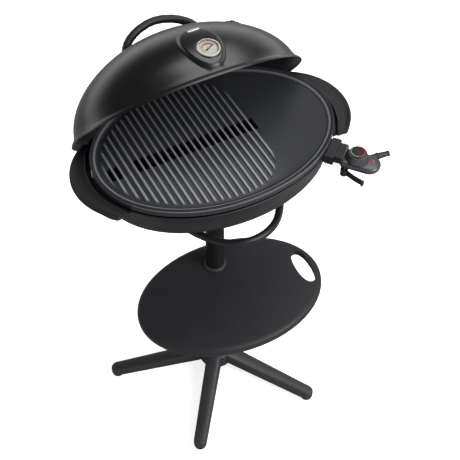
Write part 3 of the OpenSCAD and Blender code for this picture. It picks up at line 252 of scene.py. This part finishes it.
base_plastic = finish("base_plastic", (0.026, 0.027, 0.031), (0.036, 0.037, 0.042),
                      smooth=0.40, rough=0.52, scale=1100, depth=0.00012)
foot_rubber = finish("foot_rubber", (0.012, 0.012, 0.013), (0.022, 0.022, 0.023),
                     smooth=0.62, rough=0.75, scale=1600, depth=0.0001)
smooth_copy("star_base", base_plastic)
for where in ("back", "right", "left", "front_right", "front_left"):
    paint("foot_" + where, foot_rubber)

# ---- Pole: two steel tubes, powder coated in black, over a zinc-plated coupler that joins them inside.
# A bolt from below holds the lower one in the base, and a plain plastic collar lies round the pole on
# the table's top.
pole_paint = finish("pole_paint", (0.010, 0.010, 0.0115), (0.0155, 0.0156, 0.0175),
                    smooth=0.28, rough=0.36, scale=700, depth=0.00006, shine=0.30)
zinc = finish("zinc_plate", (0.42, 0.43, 0.45), (0.62, 0.63, 0.65),
              smooth=0.28, rough=0.45, scale=1500, depth=0.00005, metal=1.0)
paint("lower_pole", pole_paint)
paint("upper_pole", pole_paint)
paint("table_collar", base_plastic)
paint("pole_coupler", zinc)
paint("base_bolt", zinc)

# ---- Side table: a moulded oval shelf of matt black plastic, with a round edge and a hand hole. Screws
# hold it from below to a painted steel flange, which is clamped on the pole.
table_plastic = finish("table_plastic", (0.0175, 0.0180, 0.0205), (0.0225, 0.0232, 0.0262),
                       smooth=0.46, rough=0.56, scale=1300, depth=0.00015, shine=0.34)
bracket_paint = finish("bracket_paint", (0.010, 0.010, 0.011), (0.020, 0.020, 0.021),
                       smooth=0.45, rough=0.60, scale=900, depth=0.0001)
smooth_copy("side_table", table_plastic, angle=50)
paint("table_flange", bracket_paint)
paint("table_screws", zinc)

# ---- Carrier, front rail and lid hinge: a plastic carrier on the pole's top, bolted through the bowl's
# floor, a bent rail of coated steel round its front, and painted steel brackets behind. They hold the
# lid's hinge rod, which has a plastic cap on each end, and the bar that stops the lid.
cap_plastic = finish("cap_plastic", (0.006, 0.006, 0.007), (0.010, 0.010, 0.011),
                     smooth=0.30, rough=0.38, scale=500, depth=0.00002, shine=0.3)
paint("bowl_carrier", base_plastic)
paint("carrier_bolts", zinc)
smooth_copy("front_rail", pole_paint)
for node in ("hinge_brackets", "stop_bar"):
    paint(node, bracket_paint)
paint("hinge_rod", zinc)
paint("rod_caps", cap_plastic)

# ---- Bowl, drip tray and the two crescent handles: the bowl and the handles are moulded of heat-proof
# plastic, nearly matt, and screws from inside the bowl hold the handles. The tray, of dark coated
# sheet, lies loose in the bowl.
bowl_plastic = finish("bowl_plastic", (0.0090, 0.0092, 0.0108), (0.0140, 0.0143, 0.0166),
                      smooth=0.40, rough=0.50, scale=1200, depth=0.0001, shine=0.34)
handle_plastic = finish("handle_plastic", (0.0098, 0.0100, 0.0120), (0.0140, 0.0143, 0.0170),
                        smooth=0.38, rough=0.46, scale=1200, depth=0.0001, shine=0.34)
tray_sheet = finish("tray_sheet", (0.006, 0.006, 0.0065), (0.010, 0.010, 0.011),
                    smooth=0.34, rough=0.46, scale=600, depth=0.00003, shine=0.4)
smooth_copy("bowl", bowl_plastic)
smooth_copy("drip_tray", tray_sheet)

# the plate's oval, which the bowl's wall and the handles' inner edges follow at a distance
PLATE_A, PLATE_B, OVAL_POWER = 0.280, 0.205, 2.03
# each handle is thin in the middle of its curve and full at its two ends, which reach in to the bowl
HANDLE_TOP, HANDLE_DEEP, HANDLE_DISH = 0.865, 0.022, 0.0025
HANDLE_CLEAR, ARC_MIDDLE, ARC_R = 0.010, 0.190, 0.140
OUTER_REACH, INNER_REACH, BACK_REACH = 0.108, 0.104, 1.12
EDGE_MIDDLE, EDGE_END, END_FROM, END_OVER = 0.006, 0.012, 46, 22
TIP_RISE, TIP_FROM, TIP_OVER = 0.010, 64, 26
THINNEST = 0.001
# underside: a share of the width, a lift, and a share of the way up to the edge
BELLY = [(0, 0, 0), (0.25, 0.0005, 0.05), (0.55, 0, 0.6)]
# lower corner of the edge: a distance in from the outer edge, and a height above the edge's underside
CORNER = [(0.004, -0.0004), (0.001, 0.0008), (0, 0.0025)]
# outer rim and inner rim: a distance in from the outer or the inner edge, and a drop below the top
OUTER_RIM = [(0, 0.0025), (0.0007, 0.0008), (0.0024, 0), (0.0040, 0.0001), (0.0075, 0.0011)]
INNER_RIM = [(0.0050, 0.0006), (0.0030, 0), (0, 0.0010)]
# the dished top between the rims: a share of the width, and a share of the dish's depth
DISH = [(0.72, 0.85), (0.5, 1), (0.28, 0.85)]
# the channel's section: a distance out from the plate's oval, and a height
CHANNEL = [(-0.0007, 0.8580), (0.0012, 0.8565), (0.0062, 0.8572), (0.0086, 0.8600), (0.0090, 0.8660),
           (0.0098, 0.8672), (0.0112, 0.8672), (0.0124, 0.8662), (0.0132, 0.8640), (0.0124, 0.8560),
           (0.0095, 0.8522), (0.0012, 0.8520), (-0.0007, 0.8532)]
CHANNEL_FRONT, CHANNEL_BACK = 0.102, 0.128
HANDLE_STEP, CHANNEL_STEP = 2.5, 4.5


def clamp(share):
    """Keeps a share between none and all."""
    return min(max(share, 0.0), 1.0)


def ease(share):
    """Lets a share start and stop gently."""
    return share * share * (3 - 2 * share)


def oval_x(along, out):
    """How far to the side an oval lies, which stands out from the plate's own by a distance."""
    return (PLATE_A + out) * (1 - (abs(along) / (PLATE_B + out)) ** OVAL_POWER) ** (1 / OVAL_POWER)


def handle_slice(turn):
    """Section of the right-hand handle at a turn from its front tip (-90) to its back tip (90)."""
    reach = math.sin(math.radians(turn)) * (BACK_REACH if turn > 0 else 1.0)
    outer_y, inner_y = OUTER_REACH * reach, INNER_REACH * reach
    outer_x = ARC_MIDDLE + math.sqrt(ARC_R ** 2 - outer_y ** 2)
    inner_x = oval_x(inner_y, HANDLE_CLEAR)
    wide = max(outer_x - inner_x, THINNEST)
    end = ease(clamp((abs(turn) - END_FROM) / END_OVER))
    under = HANDLE_TOP - (EDGE_MIDDLE + (EDGE_END - EDGE_MIDDLE) * end)
    low = HANDLE_TOP - HANDLE_DEEP + TIP_RISE * clamp((abs(turn) - TIP_FROM) / TIP_OVER)
    profile = [(share, low + lift + (under - low) * rise) for share, lift, rise in BELLY]
    profile += [(1 - gap / wide, under + up) for gap, up in CORNER]
    profile += [(1 - gap / wide, HANDLE_TOP - drop) for gap, drop in OUTER_RIM]
    profile += [(share, HANDLE_TOP - part * HANDLE_DISH) for share, part in DISH]
    profile += [(gap / wide, HANDLE_TOP - drop) for gap, drop in INNER_RIM]
    return [(inner_x + (outer_x - inner_x) * clamp(share), inner_y + (outer_y - inner_y) * clamp(share), z)
            for share, z in profile]


def channel_slice(turn):
    """Section of the channel between the bowl's wall and the right-hand handle, at a turn."""
    along = (CHANNEL_BACK if turn > 0 else CHANNEL_FRONT) * math.sin(math.radians(turn))
    return [(oval_x(along, out), along, up) for out, up in CHANNEL]


def tip_to_tip(step):
    """Turns from a handle's front tip (-90) to its back tip (90), an even step apart."""
    count = round(90 / step)
    return [step * i for i in range(-count, count + 1)]


def join_rows(mesh, rows):
    """Closes each row of points to the next one with faces, all the way round."""
    for near, far in zip(rows, rows[1:]):
        for k in range(len(near)):
            j = (k + 1) % len(near)
            mesh.faces.new((near[k], near[j], far[j], far[k]))


def new_piece(name, mesh, material):
    """Makes a piece from the faces built for it."""
    data = bpy.data.meshes.new(name)
    mesh.to_mesh(data)
    mesh.free()
    piece = bpy.data.objects.new(name, data)
    bpy.context.scene.collection.objects.link(piece)
    piece.data.materials.append(material)
    return piece


def loft(name, sections, side, material, body, angle=50):
    """A closed piece through a row of matching sections, as they are (1) or mirrored (-1)."""
    mesh = bmesh.new()
    rows = [[mesh.verts.new((side * x, y, z)) for x, y, z in section] for section in sections]
    join_rows(mesh, rows)
    mesh.faces.new(rows[0])
    mesh.faces.new(rows[-1])
    bmesh.ops.recalc_face_normals(mesh, faces=mesh.faces)
    piece = new_piece(name, mesh, material)
    shade(piece, angle)
    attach(piece, body)
    return piece


for side, node in ((-1, "left_handle"), (1, "right_handle")):
    handle = loft(node + "_skin", [handle_slice(turn) for turn in tip_to_tip(HANDLE_STEP)], side,
                  handle_plastic, body_of(node))
    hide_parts(node)
    channel = loft(node + "_channel", [channel_slice(turn) for turn in tip_to_tip(CHANNEL_STEP)], side,
                   handle_plastic, body_of(node))
paint("handle_screws", zinc)

# ---- Grill plate: cast aluminium with a dark non-stick coat, ribbed on the left, with slots that drain
# the fat. The heating tube is clipped under its floor, and the socket for the plug sits on its rim.
plate_coat = finish("plate_coat", (0.021, 0.022, 0.0255), (0.025, 0.026, 0.030),
                    smooth=0.36, rough=0.42, scale=1800, depth=0.00008, shine=0.32)
element_steel = finish("element_steel", (0.07, 0.06, 0.055), (0.16, 0.14, 0.13),
                       smooth=0.40, rough=0.60, scale=800, depth=0.00008, metal=1.0)
brass = finish("contact_brass", (0.62, 0.42, 0.16), (0.78, 0.58, 0.26),
               smooth=0.22, rough=0.36, scale=900, depth=0.00003, metal=1.0)

# painted highlight: the coat's colour is lighter on the crests of the ribs and the lip's inner edge, most of
# all at the front, for the light these edges catch
CREST_FROM, CREST_FULL, LIP_FROM, LIP_END = 0.8770, 0.8793, 0.8798, 0.8810
HIGHLIGHT_FRONT, HIGHLIGHT_BACK, HIGHLIGHT_BACK_LEVEL = -0.16, 0.14, 0.42
CREST_HIGHLIGHT_COLOUR = (0.235, 0.240, 0.265, 1)
coat_tree = plate_coat.node_tree
coat_colour = coat_tree.nodes["Principled BSDF"].inputs["Base Color"]
coat_place = place_parts(coat_tree, "Object")
crest = ramp(coat_tree, coat_place["Z"], (CREST_FROM, CREST_FULL), (0.0, 1.0))
below_lip = ramp(coat_tree, coat_place["Z"], (LIP_FROM, LIP_END), (1.0, 0.0))
toward_front = ramp(coat_tree, coat_place["Y"], (HIGHLIGHT_FRONT, HIGHLIGHT_BACK), (1.0, HIGHLIGHT_BACK_LEVEL))
# the painted highlight's mask, and the coat's colour lightened by it
crest_highlight = combined(coat_tree, "MULTIPLY", combined(coat_tree, "MULTIPLY", crest, below_lip), toward_front)
highlighted_coat = mixed(coat_tree, "RGBA", crest_highlight, coat_colour.links[0].from_socket, CREST_HIGHLIGHT_COLOUR)
coat_tree.links.new(highlighted_coat, coat_colour)

# the slots are open right up to the ribs, which run on across them as narrow bars
PLATE_CRISP = 30
RIB_PITCH, RIGHT_SLOT = 0.0155, 0.095
# counted in ribs, from the rightmost slot to the left
SLOT_PLACES = [*range(19), 21, 22]
SLOT_MIDDLE, SLOT_HEIGHT = -0.0035, 0.874
SLOT_WIDE, SLOT_LONG, SLOT_CUT = 0.0108, 0.038, 0.030


def cut_away(piece, cutter):
    """Takes the cutter's shape out of a piece, and then takes the cutter away."""
    cut = piece.modifiers.new("cut", "BOOLEAN")
    cut.operation = "DIFFERENCE"
    cut.object = cutter
    cut.solver = "EXACT"
    bpy.context.view_layer.objects.active = piece
    bpy.ops.object.modifier_apply(modifier="cut")
    bpy.data.objects.remove(cutter)


plate_skin = smooth_copy("grill_plate", plate_coat, angle=PLATE_CRISP)
slot_cuts = []
for i in SLOT_PLACES:
    bpy.ops.mesh.primitive_cube_add(size=1)
    slot_cut = bpy.context.object
    slot_cut.data.transform(Matrix.Translation((RIGHT_SLOT - i * RIB_PITCH, SLOT_MIDDLE, SLOT_HEIGHT))
                            @ Matrix.Diagonal((SLOT_WIDE, SLOT_LONG, SLOT_CUT, 1)))
    slot_cuts.append(slot_cut)
select_only(slot_cuts[0])
for slot_cut in slot_cuts:
    slot_cut.select_set(True)
bpy.ops.object.join()
cut_away(plate_skin, bpy.context.object)
shade(plate_skin, PLATE_CRISP)
smooth_copy("heating_element", element_steel)
paint("element_clips", zinc)
paint("socket_shroud", handle_plastic)
paint("contact_pins", brass)

# ---- Thermostat plug: a moulded base and cover of shiny dark grey plastic, closed round the switch. It
# has a knob with a black cap, a red lamp, a release lever on a pin, a steel probe that goes in under
# the plate, and a soft sleeve where the cord leaves it.
plug_plastic = finish("plug_plastic", (0.030, 0.031, 0.035), (0.044, 0.046, 0.052),
                      smooth=0.27, rough=0.34, scale=1500, depth=0.00006, shine=0.7)
bright_steel = finish("bright_steel", (0.60, 0.61, 0.62), (0.76, 0.77, 0.78),
                      smooth=0.10, rough=0.20, scale=400, depth=0.00002, metal=1.0)
lamp_red = finish("lamp_red", (0.45, 0.02, 0.02), (0.60, 0.05, 0.05),
                  smooth=0.08, rough=0.14, scale=300, depth=0.00001)
plug_base = smooth_copy("plug_base", plug_plastic)
# its ribbed collar, which goes into the plate's socket, is black like the socket
PLUG_FROM, PLUG_ALONG = Vector((0.211319, -0.134492, 0)), Vector((0.64413, -0.76492, 0))
COLLAR_END = 0.0386
plug_base.data.materials.append(handle_plastic)
for face in plug_base.data.polygons:
    if (face.center - PLUG_FROM).dot(PLUG_ALONG) < COLLAR_END:
        face.material_index = 1
smooth_copy("plug_cover", plug_plastic)
paint("temperature_probe", bright_steel)
paint("control_knob", plug_plastic)
paint("knob_cap", cap_plastic)
paint("pilot_lamp", lamp_red)
paint("strain_relief", handle_plastic)
paint("release_lever", handle_plastic)
paint("lever_pin", zinc)

# ---- Lid: a steel dome drawn deep from one sheet, with a flared band at its rim and a pressed boss
# that carries the thermometer, in satin black enamel. Two arms behind it carry it on the hinge rod, and
# a vent plate turns on a pin over four holes.
LID_OPEN = 55.6
HINGE_BACK, HINGE_UP, HINGE_DROP = 0.046, 0.7613, 0.1237
DOME_A, DOME_B, DOME_HIGH = 0.272, 0.205, 0.174
DOME_FULL, DOME_EDGE = 1.91, 2.05
SHEET, LID_CRISP = 0.0016, 50
BOSS_AT, BOSS_LONG, BOSS_WIDE, BOSS_RISE = (0.018, 0.080), 0.066, 0.045, 0.007
BOSS_TAPER, BOSS_FOOT, BOSS_SLOPE = 0.08, 1.03, 0.17
GAUGE_AT, GAUGE_SEAT = (0.024, 0.063), 0.002
POCKET_R, POCKET_SLOPE, POCKET_FLOOR = 0.0222, 0.0030, GAUGE_SEAT - 0.0002
# the band's section: how far it flares out past the dome, and a height; it flares less to front and back
BAND = [(0.0108, 0.0004), (0.0108, 0.0014), (0.0101, 0.0030), (0.0078, 0.0062), (0.0048, 0.0092),
        (0.0026, 0.0112), (0.0014, 0.0130)]
BAND_DEPTH_SHARE = 0.727
on_lid = (Matrix.Translation((0, HINGE_BACK, HINGE_UP)) @ Matrix.Rotation(-math.radians(LID_OPEN), 4, "X")
          @ Matrix.Translation((0, -HINGE_BACK, HINGE_DROP)))


def dome_front(across, up):
    """Point of the dome's front, and its outward direction, at a sideways place and a height."""
    share = (1 - (up / DOME_HIGH) ** DOME_FULL) ** (1 / DOME_FULL)
    back = DOME_B * (share ** DOME_EDGE - (abs(across) / DOME_A) ** DOME_EDGE) ** (1 / DOME_EDGE)
    k = share ** (DOME_FULL - DOME_EDGE)
    out = Vector((k * math.copysign((abs(across) / DOME_A) ** (DOME_EDGE - 1), across) / DOME_A,
                  -k * (back / DOME_B) ** (DOME_EDGE - 1) / DOME_B,
                  (up / DOME_HIGH) ** (DOME_FULL - 1) / DOME_HIGH))
    return Vector((across, -back, up)), out.normalized()


def level_side(out):
    """The level direction square to an outward one."""
    return Vector((-out.y, out.x, 0)).normalized()


boss_centre, boss_out = dome_front(*BOSS_AT)
boss_side = level_side(boss_out)
boss_down = boss_side.cross(boss_out)
gauge_centre, gauge_out = dome_front(*GAUGE_AT)


def boss_rise(point):
    """How far the boss lifts a point of the dome: flat, with a soft edge, and a pocket for the gauge."""
    if point.y > 0:
        return 0.0
    along, across = (point - boss_centre).dot(boss_down), (point - boss_centre).dot(boss_side)
    reach = math.hypot(along / BOSS_LONG, across / (BOSS_WIDE * (1 - BOSS_TAPER * along / BOSS_LONG)))
    boss = BOSS_RISE * ease(clamp((BOSS_FOOT - reach) / BOSS_SLOPE))
    outside = clamp(((point - gauge_centre).length - POCKET_R) / POCKET_SLOPE)
    return boss * outside + POCKET_FLOOR * (1 - outside)


def around(turn):
    """A point of the dome's oval at a turn, for an oval one unit long and wide."""
    return Vector((math.copysign(abs(math.cos(turn)) ** (2 / DOME_EDGE), math.cos(turn)),
                   math.copysign(abs(math.sin(turn)) ** (2 / DOME_EDGE), math.sin(turn)), 0))


def band_point(turn, flare, up):
    """A point of the rim's band, flared out past the dome and at a height above the rim."""
    side = around(turn)
    return Vector((side.x * (DOME_A + flare), side.y * (DOME_B + flare * BAND_DEPTH_SHARE), up))


def dome_point(turn, lean):
    """A point of the dome, with the boss on it, at a lean from the rim (0) to the crown (90 degrees)."""
    side = around(turn)
    share = math.cos(lean) ** (2 / DOME_FULL)
    up = DOME_HIGH * math.sin(lean) ** (2 / DOME_FULL)
    place = Vector((side.x * DOME_A * share, side.y * DOME_B * share, up))
    rise = boss_rise(place)
    if rise:
        place += dome_front(place.x, place.z)[1] * rise
    return place


# the mesh is fine over the boss, from -118 to -52 degrees, and coarser round the rest of the turn
FINE_TURNS = [-118 + 0.5 * i for i in range(132)]
COARSE_TURNS = [-52 + 2.35 * i for i in range(125)]
LEAN_FROM, LEAN_OVER, LEAN_COUNT, LEAN_CROWDING = 8.5, 81.1, 85, 0.9
turns = [math.radians(a) for a in FINE_TURNS + COARSE_TURNS]
leans = [math.radians(LEAN_FROM + LEAN_OVER * (i / (LEAN_COUNT - 1)) ** LEAN_CROWDING)
         for i in range(LEAN_COUNT)]
lid_rows = [[band_point(turn, *step) for turn in turns] for step in BAND]
lid_rows += [[dome_point(turn, lean) for turn in turns] for lean in leans]
lid_mesh = bmesh.new()
rings = [[lid_mesh.verts.new(on_lid @ place) for place in row] for row in lid_rows]
join_rows(lid_mesh, rings)
crown = lid_mesh.verts.new(on_lid @ Vector((0, 0, DOME_HIGH)))
for i in range(len(turns)):
    lid_mesh.faces.new((rings[-1][i], rings[-1][(i + 1) % len(turns)], crown))

lid_enamel = finish("lid_enamel", (0.0030, 0.0032, 0.0037), (0.0042, 0.0045, 0.0052),
                    smooth=0.29, rough=0.33, scale=500, depth=0.00002, shine=0.8)
lid_inside = finish("lid_inside", (0.0035, 0.0037, 0.0042), (0.0050, 0.0053, 0.0060),
                    smooth=0.42, rough=0.50, scale=500, depth=0.00002, shine=0.3)
lid_dome = new_piece("lid_dome", lid_mesh, lid_enamel)
lid_dome.data.materials.append(lid_inside)
select_only(lid_dome)
lid_wall = lid_dome.modifiers.new("wall", "SOLIDIFY")
lid_wall.thickness = SHEET
lid_wall.offset = -1
lid_wall.material_offset = 1
bpy.ops.object.modifier_apply(modifier="wall")

VENT_AT, VENT_OUT = (0.158, 0.213983, 0.974488), Vector((0.432871, 0.642465, 0.632346))
VENT_RING, VENT_HOLE, VENT_CUT = 0.0116, 0.004, 0.02
vent_frame = Matrix.Translation(VENT_AT) @ VENT_OUT.to_track_quat("Z", "Y").to_matrix().to_4x4()
for turn in (45, 135, 225, 315):
    bpy.ops.mesh.primitive_cylinder_add(vertices=24, radius=VENT_HOLE, depth=VENT_CUT)
    punch = bpy.context.object
    punch.data.transform(vent_frame @ Matrix.Rotation(math.radians(turn), 4, "Z")
                         @ Matrix.Translation((VENT_RING, 0, 0)))
    cut_away(lid_dome, punch)
shade(lid_dome, LID_CRISP)
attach(lid_dome, body_of("lid_shell"))
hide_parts("lid_shell")
for node in ("lid_arm_left", "lid_arm_right", "vent_plate"):
    paint(node, bracket_paint)
for node in ("arm_screws", "handle_nuts", "vent_pin"):
    paint(node, zinc)

# ---- Lid handle: a bow of black moulded plastic that stands on the crown. Two screws from inside the
# lid hold it.
smooth_copy("lid_handle", handle_plastic)

# ---- Name place: a small bar of chromed plastic, its edges rounded, pressed into the upper part of the
# boss and left bare.
BAR_AT, BAR_SIZE, BAR_LIFT = (0.022, 0.117), (0.030, 0.0070, 0.0030), 0.0078
BAR_ROUND, BAR_STEPS, BAR_CRISP = 0.0009, 3, 60


def stand_on(centre, out, lift):
    """A frame over a point of the dome: X level to the side, Z outward, lifted by a distance."""
    side = level_side(out)
    turned = Matrix((side, out.cross(side), out)).transposed().to_4x4()
    return on_lid @ Matrix.Translation(centre + out * lift) @ turned


chrome = finish("chrome", (0.46, 0.46, 0.47), (0.56, 0.56, 0.57),
                smooth=0.26, rough=0.32, scale=300, depth=0.00001, metal=1.0)
bpy.ops.mesh.primitive_cube_add(size=1)
name_bar = bpy.context.object
name_bar.name = "bare_chrome_bar"
name_bar.data.transform(Matrix.Diagonal((*BAR_SIZE, 1)))
bpy.ops.object.mode_set(mode="EDIT")
bpy.ops.mesh.select_all(action="SELECT")
bpy.ops.mesh.bevel(offset=BAR_ROUND, segments=BAR_STEPS, affect="EDGES")
bpy.ops.object.mode_set(mode="OBJECT")
name_bar.data.transform(stand_on(*dome_front(*BAR_AT), BAR_LIFT))
shade(name_bar, BAR_CRISP)
name_bar.data.materials.append(chrome)
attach(name_bar, body_of("lid_shell"))

# ---- Thermometer: a polished steel case round a white dial with printed ranges and a black needle,
# under glass. Its stem goes through the dome and a nut holds it from inside.
DIAL_TOP, DIAL_R = 0.0025, 0.0218
RANGE_INNER, RANGE_OUTER = 0.55 * DIAL_R, 0.76 * DIAL_R
TICKS, TICK_INNER, TICK_OUTER = (-40, 220, 13, 0.9), 0.80 * DIAL_R, 0.94 * DIAL_R
RANGES = [("yellow", (0.62, 0.44, 0.08), 158, 214), ("orange", (0.62, 0.22, 0.06), 112, 154),
          ("red", (0.42, 0.04, 0.03), 38, 108)]
INK_DARKEST = 0.9
PRINT_LIFT, PRINT_STEP = 0.00012, 6
on_dial = stand_on(gauge_centre, gauge_out, GAUGE_SEAT + DIAL_TOP)


def printed_marks(name, spans, inner, outer, place, material, body, slot, lift=PRINT_LIFT):
    """Thin printed sectors, each from one angle to another between two radii, merged into one piece."""
    marks = bmesh.new()
    for start, stop in spans:
        steps = max(1, round(abs(stop - start) / PRINT_STEP))
        rows = []
        for i in range(steps + 1):
            turn = math.radians(start + (stop - start) * i / steps)
            rows.append([marks.verts.new(place @ Vector((r * math.cos(turn), r * math.sin(turn), z)))
                         for r, z in ((inner, lift), (outer, lift), (outer, 0.0), (inner, 0.0))])
        join_rows(marks, rows)
        marks.faces.new(rows[0])
        marks.faces.new(rows[-1])
    bmesh.ops.recalc_face_normals(marks, faces=marks.faces)
    piece = new_piece(name, marks, material)
    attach(piece, body)


def ticks(first, last, step, half):
    """Short sectors from a first to a last angle, a step apart, each half a width to both sides."""
    return [(a - half, a + half) for a in range(first, last + 1, step)]


dial_white = finish("dial_white", (0.52, 0.51, 0.46), (0.60, 0.59, 0.54),
                    smooth=0.40, rough=0.50, scale=900, depth=0.00001)
needle_black = finish("needle_black", (0.01, 0.01, 0.01), (0.02, 0.02, 0.02),
                      smooth=0.35, rough=0.45, scale=900, depth=0.00001)
case_steel = finish("case_steel", (0.34, 0.34, 0.34), (0.44, 0.44, 0.44),
                    smooth=0.16, rough=0.24, scale=400, depth=0.00002, metal=1.0)
for name, colour, start, stop in RANGES:
    ink = finish("dial_" + name, tuple(INK_DARKEST * c for c in colour), colour,
                 smooth=0.40, rough=0.50, scale=900, depth=0.00001)
    printed_marks("dial_range_" + name, [(start, stop)], RANGE_INNER, RANGE_OUTER, on_dial, ink,
                  body_of("gauge_dial"), "dial_white")
printed_marks("dial_ticks", ticks(*TICKS), TICK_INNER, TICK_OUTER, on_dial, needle_black,
              body_of("gauge_dial"), "needle_black")

# the glass is thin and clear, so it only dims the dial a little and adds a reflection
GLASS_TINT, GLASS_ROUGHNESS, GLASS_COVER = (0.02, 0.02, 0.02, 1), 0.05, 0.10
gauge_glass, glass_tree, glass_shader = new_material("gauge_glass")
glass_shader.inputs["Base Color"].default_value = GLASS_TINT
glass_shader.inputs["Roughness"].default_value = GLASS_ROUGHNESS
glass_shader.inputs["Alpha"].default_value = GLASS_COVER
paint("gauge_case", case_steel)
paint("gauge_dial", dial_white)
paint("gauge_needle", needle_black)
paint("gauge_glass", gauge_glass)
paint("gauge_stem", bright_steel)
paint("gauge_nut", zinc)

# a wider blade lies over the needle and points the same way, at its tip, the point farthest from its pin
NEEDLE_UP, BLADE_UP, BLADE_THICK = 0.0012, 0.0006, 0.0006
BLADE = [(-0.0095, 0.0016), (0.0, 0.0014), (0.0165, 0.0009)]
needle_middle = on_dial @ Vector((0, 0, NEEDLE_UP))
needle_tip = on_dial.inverted() @ max((v.co for v in frame["nodes"]["gauge_needle"].data.vertices),
                                      key=lambda place: (place - needle_middle).length)
on_needle = (on_dial @ Matrix.Rotation(math.atan2(needle_tip.y, needle_tip.x), 4, "Z")
             @ Matrix.Translation((0, 0, BLADE_UP)))
blade_slices = [[on_needle @ Vector((along, half, up))
                 for half, up in ((-wide, 0), (wide, 0), (wide, BLADE_THICK), (-wide, BLADE_THICK))]
                for along, wide in BLADE]
needle_blade = loft("needle_blade", blade_slices, 1, needle_black, body_of("gauge_needle"))

# ---- Dial of the thermostat knob: white and red settings, printed round the satin black cap. They turn
# with the knob.
KNOB_AT, INK_LIFT = (0.255124, -0.186503, 0.8776), 0.0004
RED_TICKS, RED_RING = (-105, 75, 12, 3.5), (0.0140, 0.0168)
WHITE_TICKS, WHITE_RING = (120, 240, 15, 2), (0.0142, 0.0166)
on_knob = Matrix.Translation(KNOB_AT)
knob_red = finish("knob_red", (0.45, 0.03, 0.02), (0.55, 0.04, 0.03),
                  smooth=0.30, rough=0.40, scale=900, depth=0.00001)
printed_marks("knob_marks_red", ticks(*RED_TICKS), *RED_RING, on_knob, knob_red, body_of("knob_cap"),
              "lamp_red", lift=INK_LIFT)
printed_marks("knob_marks_white", ticks(*WHITE_TICKS), *WHITE_RING, on_knob, dial_white, body_of("knob_cap"),
              "dial_white", lift=INK_LIFT)
